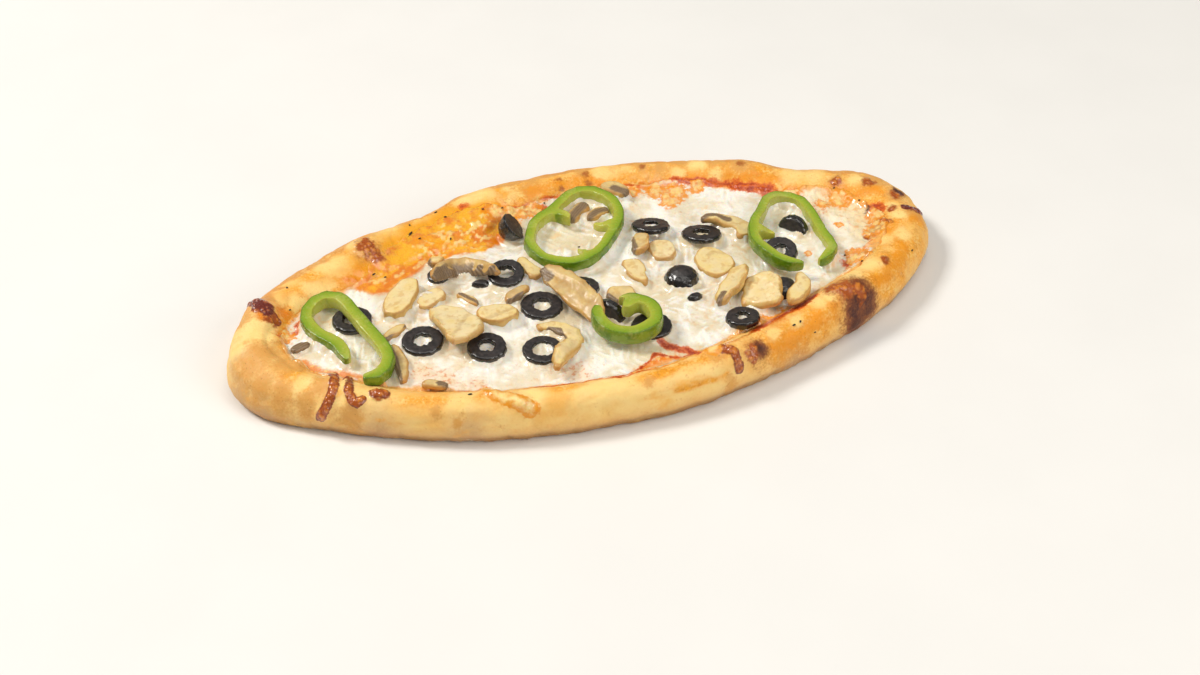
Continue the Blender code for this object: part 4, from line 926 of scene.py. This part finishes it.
for name, number in toppings("pepper"):
    pepper = Skin(grown(name, PEPPER_PITCH))
    pepper.smooth(14)
    pepper.smooth(24, near(pepper.points, RIBS))
    for side_up in (1, -1):
        turned = pepper.points * side_up
        facing_up = ramp(pepper.normals()[:, 2] * side_up, 0.12, 0.5)
        level = pepper.blurred(level_with(turned, PEPPER_PITCH, 6), 8)
        pepper.points[:, 2] += side_up * (level - turned[:, 2]) * facing_up
    pepper.smooth(2)
    points, normals = pepper.points, pepper.normals()
    foot, away = nearest(points[:, :2], np.array(HEARTS[number]))
    turn = (normals[:, :2] * (points[:, :2] - foot)).sum(axis=1) / away
    fixed = np.abs(turn) > SIDE_ON
    side = np.where(fixed, turn > 0, 0.5)
    for _ in range(SIDE_SPREADS):
        side = np.where(fixed, side, pepper.around(side))
    pepper.push((0.2 + 0.35 * (side < 0.5)) * clouds(points, 7.0, 21) + 0.1 * clouds(points, 2.0, 22))
    pepper.mark(side=side, rib=near(points, RIBS), face=ramp(np.abs(normals[:, 2]), 0.35, 0.75))
    pepper.laid(name + "_flesh", pepper_finish, "pepper", name)

# -----------------------------------------------------------------------------
# The mushrooms: tinned slices, cut lengthways, cooked limp. Beige faces with tan edges, dark gills
# where the cut went under the cap, and painted shade in their hollows. Each is grown from its solid.
# The lists go by the number of the slice.
MUSHROOM_PITCH = 0.5
LYING = 5.4  # slices less tall than this lie flat, with a level cut face
SWAY, RUMPLE = 0.7, 0.34  # how far a slice's outline wanders, and its faces rise and fall
# Where gills show: a route of places and its width, the bearing they face in degrees (or None for
# any side), and the way their ridges run, in degrees.
GILLS = {
    5: (((-58, 12), (-50, 14.5), (-43, 12), (-38, 9)), 11, -80, -70),
    6: (((-52, 4), (-47, -3)), 2.4, None, -60),
    7: (((-36, -7.4), (-30.6, -6)), 4, -70, 20),
    9: (((-20.5, 4.4), (-18, -2)), 6, None, -62),
    10: (((-26, -28.6), (-22.6, -30.6), (-22, -36)), 3.4, None, -60),
    12: (((1.6, -15), (3.6, -18.6)), 3, None, -60),
    13: (((19.6, 6), (20.6, 13.5)), 4.4, None, 80),
    15: (((-85, -17), (-84, -26), (-85, -37)), 3.4, None, -88),
    17: (((39.6, -34), (43.4, -30)), 3.6, None, 50),
    20: (((52.2, 17.4), (58, 17.6), (62.6, 14.4)), 5, None, -15),
    21: (((1, 33), (6.6, 38.8), (11.6, 42.6)), 6, None, 45),
    22: (((25.4, 48.6), (29.6, 44.2)), 6, None, -50),
    23: (((-86, -14.4), (-77, -9)), 2.6, -60, 30),
    24: (((-71.5, -44.8), (-69, -45.8)), 5, None, -20),
    25: (((10, 33.6), (14.4, 36.4), (19, 36.6)), 4.6, None, 20),
    26: (((-119, -8.6), (-112.4, -6.2)), 7, None, 20),
    27: (((-60, 21.5), (-59, 27.5)), 3.4, None, 80),
}
GILL_SPACING, GILL_DEPTH = 1.0, 0.14
# Folds across a slice: a route of places.
CREASES = {3: ((-53.5, -14), (-57, -18.6), (-59.5, -24), (-62.5, -27)),
           4: ((-48, -17.4), (-41.2, -15.2), (-35.6, -13.3)),
           9: ((-17, -1), (-11, -12), (-7, -22)),
           16: ((47, -5), (50, -4), (53, -6))}
CREASE_WIDTH, CREASE_DEPTH = 3.6, 0.35
# How brown each slice cooked: 0 is the palest beige and 1 brown, less than 0 is bleached.
COMMON_TONE = 0.25
TONES = {1: 0.0, 2: -0.3, 3: -0.2, 4: 0.3, 5: 1.0, 6: 0.8, 7: 0.9, 8: 0.5, 9: 0.95, 10: 0.5, 12: 0.7,
         13: 0.8, 14: -0.4, 15: 0.8, 16: 0.1, 18: 0.0, 19: 0.0, 20: 0.5, 21: 1.0, 22: 0.8, 23: 0.7,
         24: 0.7, 25: 1.0}
MUSHROOM = {"beige": "E9CE88", "tan": "DEBC70", "cream": "F6E8BC", "bleached": "EFDDB0", "brown": "BC9558",
            "rim": "D2A456", "mottle": "CFA055", "edge": "BA8444", "hollow": "A87A42", "crease": "B0824A",
            "gill": "755E46", "ridge": "957D5E"}
mushroom_finish, w, feed = surface("cooked_mushroom", Subsurface_Weight=0.35, Subsurface_Scale=0.002,
                                   Subsurface_Radius=(1.0, 0.7, 0.4), Specular_IOR_Level=0.5,
                                   Coat_Roughness=0.2)
stain, fibre = w.grain(5.0, 4.0), w.grain(1.3, 4.0)
base = coated(
    (stain + fibre * 0.3).step(-0.12, 0.14).over(MUSHROOM["beige"], MUSHROOM["tan"]), MUSHROOM,
    ((1 - w["rim"] + stain * 1.8).step(0.5, 1.3, 0.6), "cream"),
    ((stain * 0.8 - w["tone"]).step(-0.1, 0.5, 0.6), "bleached"),
    ((w["tone"] + stain * 1.4).step(0.3, 1.3, 0.9), "brown"),
    ((w["rim"] + stain * 1.2).step(0.2, 1.0, 0.6), "rim"),
    ((w.grain(3.0, 5.0) + fibre * 0.4).step(0.0, 0.18, 0.45), "mottle"),
    ((w["edge"] + fibre * 0.5).step(0.5, 1.0, 0.6), "edge"),
    # painted shade darkening the slice's hollows
    ((w["hollow"] + fibre * 0.5).step(0.3, 1.0, 0.4), "hollow"),
    ((w["crease"] + fibre * 0.9).step(0.3, 1.1, 0.35), "crease"),
    ((w["gill"] + fibre * 0.5).step(0.3, 0.7),
     (w["stripes"] + fibre * 0.8).step(-1.0, 1.2).over(MUSHROOM["gill"], MUSHROOM["ridge"])))
feed(Base_Color=base, Roughness=0.42 + stain * 0.5, Coat_Weight=stain.step(-0.1, 0.1, 0.4),
     Normal=rough_skin(w, fibre * 0.6 + stain * 0.5 + w.grain(0.4) * 0.2, 0.35, 0.6))


def across(points, route, width):
    """How far each point is on a band, both seen from above."""
    return along(points, [(*place, 0) for place in route], width, 0)


for name, number in toppings("mushroom"):
    sliced = Skin(grown(name, MUSHROOM_PITCH))
    sliced.smooth(3)
    drift = [sliced.clouds(4.2, number + 50), sliced.clouds(4.2, number + 51)]
    sliced.points[:, :2] += SWAY * np.column_stack(drift)
    sliced.smooth(18, -0.9)
    if np.ptp(sliced.points[:, 2]) < LYING:
        level = sliced.blurred(level_with(sliced.points, MUSHROOM_PITCH, 4), 6)
        sliced.points[:, 2] += (level - sliced.points[:, 2]) * ramp(sliced.normals()[:, 2], 0.35, 0.7)
        sliced.smooth(5)
    points, normals = sliced.points, sliced.normals()
    bulge = ((points - sliced.blurred(points, 12)) * normals).sum(axis=1)
    gill, ridges, crease = np.zeros((3, len(points)))
    if number in GILLS:
        route, width, bearing, turn = GILLS[number]
        gill = across(points, route, width)
        if bearing is not None:
            gill = gill * ramp(turned_by(normals, bearing)[0], -0.05, 0.3)
        phase = -turned_by(points, turn)[1] * math.tau / GILL_SPACING
        ridges = gill * np.cos(phase + 2.5 * clouds(points, 3.0, number))
    if number in CREASES:
        crease = across(points, CREASES[number], CREASE_WIDTH)
    sliced.push(-CREASE_DEPTH * crease)
    sliced.push(RUMPLE * clouds(points, 5.0, number) + 0.1 * clouds(points, 1.8, number + 30)
                + GILL_DEPTH * ridges)
    rim = ramp(1 - sliced.blurred(np.abs(normals[:, 2]), 26), 0.1, 0.5)
    # hollow: where the surface dips, darkened in the material as painted shade
    sliced.mark(edge=ramp(bulge, 0.04, 0.3), hollow=ramp(-bulge, 0.02, 0.3), rim=rim, gill=gill,
                crease=crease, stripes=ridges, tone=np.full(len(points), TONES.get(number, COMMON_TONE)))
    sliced.laid(name + "_flesh", mushroom_finish, "mushroom", name)

# -----------------------------------------------------------------------------
# The herbs: dried flakes and black specks that fell on the oily dough and the cheese. Each is a
# thin bent scrap, laid on what is under it; all are one piece.
FLAKE_ROWS, FLAKE_THICK, FLAKE_GAP = 5, 0.22, 0.05
# Places, lengths and turns in degrees.
FLAKES = (
    (-62, 46, 3.6, 50), (-59, 42, 1.2, 10), (-47, 39, 1.3, 70), (-49, 56, 1.4, 30), (-46, 52, 1.3, 0),
    (-61, 51, 1, 80), (-77, 25, 1, 20), (-81, 27, 1.6, 30), (-115, 26, 0.9, 0), (-116, 15, 0.9, 40),
    (-22, 52, 1, 0), (-4, 52, 1.1, 60), (-30, 53, 1.2, 0), (62, -55, 1.5, 20), (65, -54, 1.4, 60),
    (70, -57, 0.9, 0), (100, -18, 1, 0), (126, -25, 1.2, 40), (1, 20, 1, 0), (-63, -54, 1.6, 0),
    (88, 26, 0.9, 0), (113, 22, 0.9, 30), (120, 12, 1, 0), (103, -27, 1.1, 20),
)
flake_points, flake_faces = [], []
under_them = [piece for piece in bpy.context.scene.objects if piece.type == "MESH" and not piece.hide_render]
bpy.context.view_layer.update()
for number, (x, y, length, turn) in enumerate(FLAKES):
    ground = max(h for h in (hit(piece, x, y, ABOVE, -1) for piece in under_them) if h is not None)
    cosine, sine = math.cos(math.radians(turn)), math.sin(math.radians(turn))
    start = len(flake_points)
    for t in np.linspace(-1, 1, FLAKE_ROWS):
        a = t * length / 2
        half = (0.5 + 0.12 * length) / 2 * math.sqrt(max(0.05, 1 - t * t))
        low = ground + FLAKE_GAP + 0.12 * (1 - t * t) * (number % 3)
        flake_points += [(x + a * cosine - b * sine, y + a * sine + b * cosine, height)
                         for b in (-half, half) for height in (low, low + FLAKE_THICK)]
    last = len(flake_points) - 4
    flake_faces += [(p + a, p + 4 + a, p + 4 + b, p + b) for p in range(start, last, 4)
                    for a, b in ((2, 0), (3, 2), (1, 3), (0, 1))]
    flake_faces += [(start, start + 1, start + 3, start + 2), (last, last + 2, last + 3, last + 1)]
herb_finish, w, feed = surface("dried_herb")
feed(Base_Color=w.grain(0.8).step(-0.1, 0.1).over("17130A", "35301A"), Roughness=w.grain(0.5) * 0.4 + 0.65)
Skin(mesh_of("herb_flakes", flake_points, flake_faces)).laid("herb_flakes", herb_finish, None)

# -----------------------------------------------------------------------------
# The stage: a plain pale floor, three soft warm lights (a key behind to the left, a broad one
# overhead and a fill in front), and the camera where the picture was taken from.
FLOOR_REACH, FLOOR_TOP = 4000, -0.3  # just under the flat underside
LAMPLIGHT, DAYLIGHT = (1.0, 0.965, 0.91), (1.0, 0.98, 0.94, 1.0)
square = [(x * FLOOR_REACH, y * FLOOR_REACH, FLOOR_TOP) for x, y in ((-1, -1), (1, -1), (1, 1), (-1, 1))]
floor = placed("floor", mesh_of("floor", square, [(0, 1, 2, 3)]))
floor_finish, w, feed = surface("pale_floor", Roughness=0.7)
feed(Base_Color=w.grain(60.0).step(-0.3, 0.3).over("EDECE9", "F0EFEC"))
floor.data.materials.append(floor_finish)

# Each lamp's place and size in metres, and its power in watts.
for name, place, size, power in (("key", (-1.1, 0.65, 1.45), 0.45, 25.0),
                                 ("top", (0.1, -0.25, 1.7), 1.1, 8.2),
                                 ("fill", (0.65, -0.85, 0.75), 0.7, 5.5)):
    light = bpy.data.lights.new(name, "AREA")
    light.size, light.energy, light.color = size, power, LAMPLIGHT
    lamp = placed(name, light)
    lamp.location = place
    lamp.rotation_euler = (-Vector(place)).to_track_quat("-Z", "Y").to_euler()
world = bpy.data.worlds.new("studio")
bpy.context.scene.world = world
world.use_nodes = True
world.node_tree.nodes["Background"].inputs["Color"].default_value = DAYLIGHT
world.node_tree.nodes["Background"].inputs["Strength"].default_value = 0.25
bpy.context.scene.view_settings.view_transform = "Standard"

CAMERA_PLACE = (-0.14866, -0.46785, 0.41562)  # metres
CAMERA_VIEW = (0.23144, 0.71229, -0.66263)  # the direction that it looks in
CAMERA_LENS = 48.59  # millimetres, on a sensor of 36
lens = bpy.data.cameras.new("camera")
lens.sensor_width, lens.lens = 36.0, CAMERA_LENS
camera = placed("camera", lens)
camera.location = CAMERA_PLACE
camera.rotation_euler = Vector(CAMERA_VIEW).to_track_quat("-Z", "Y").to_euler()
bpy.context.scene.camera = camera
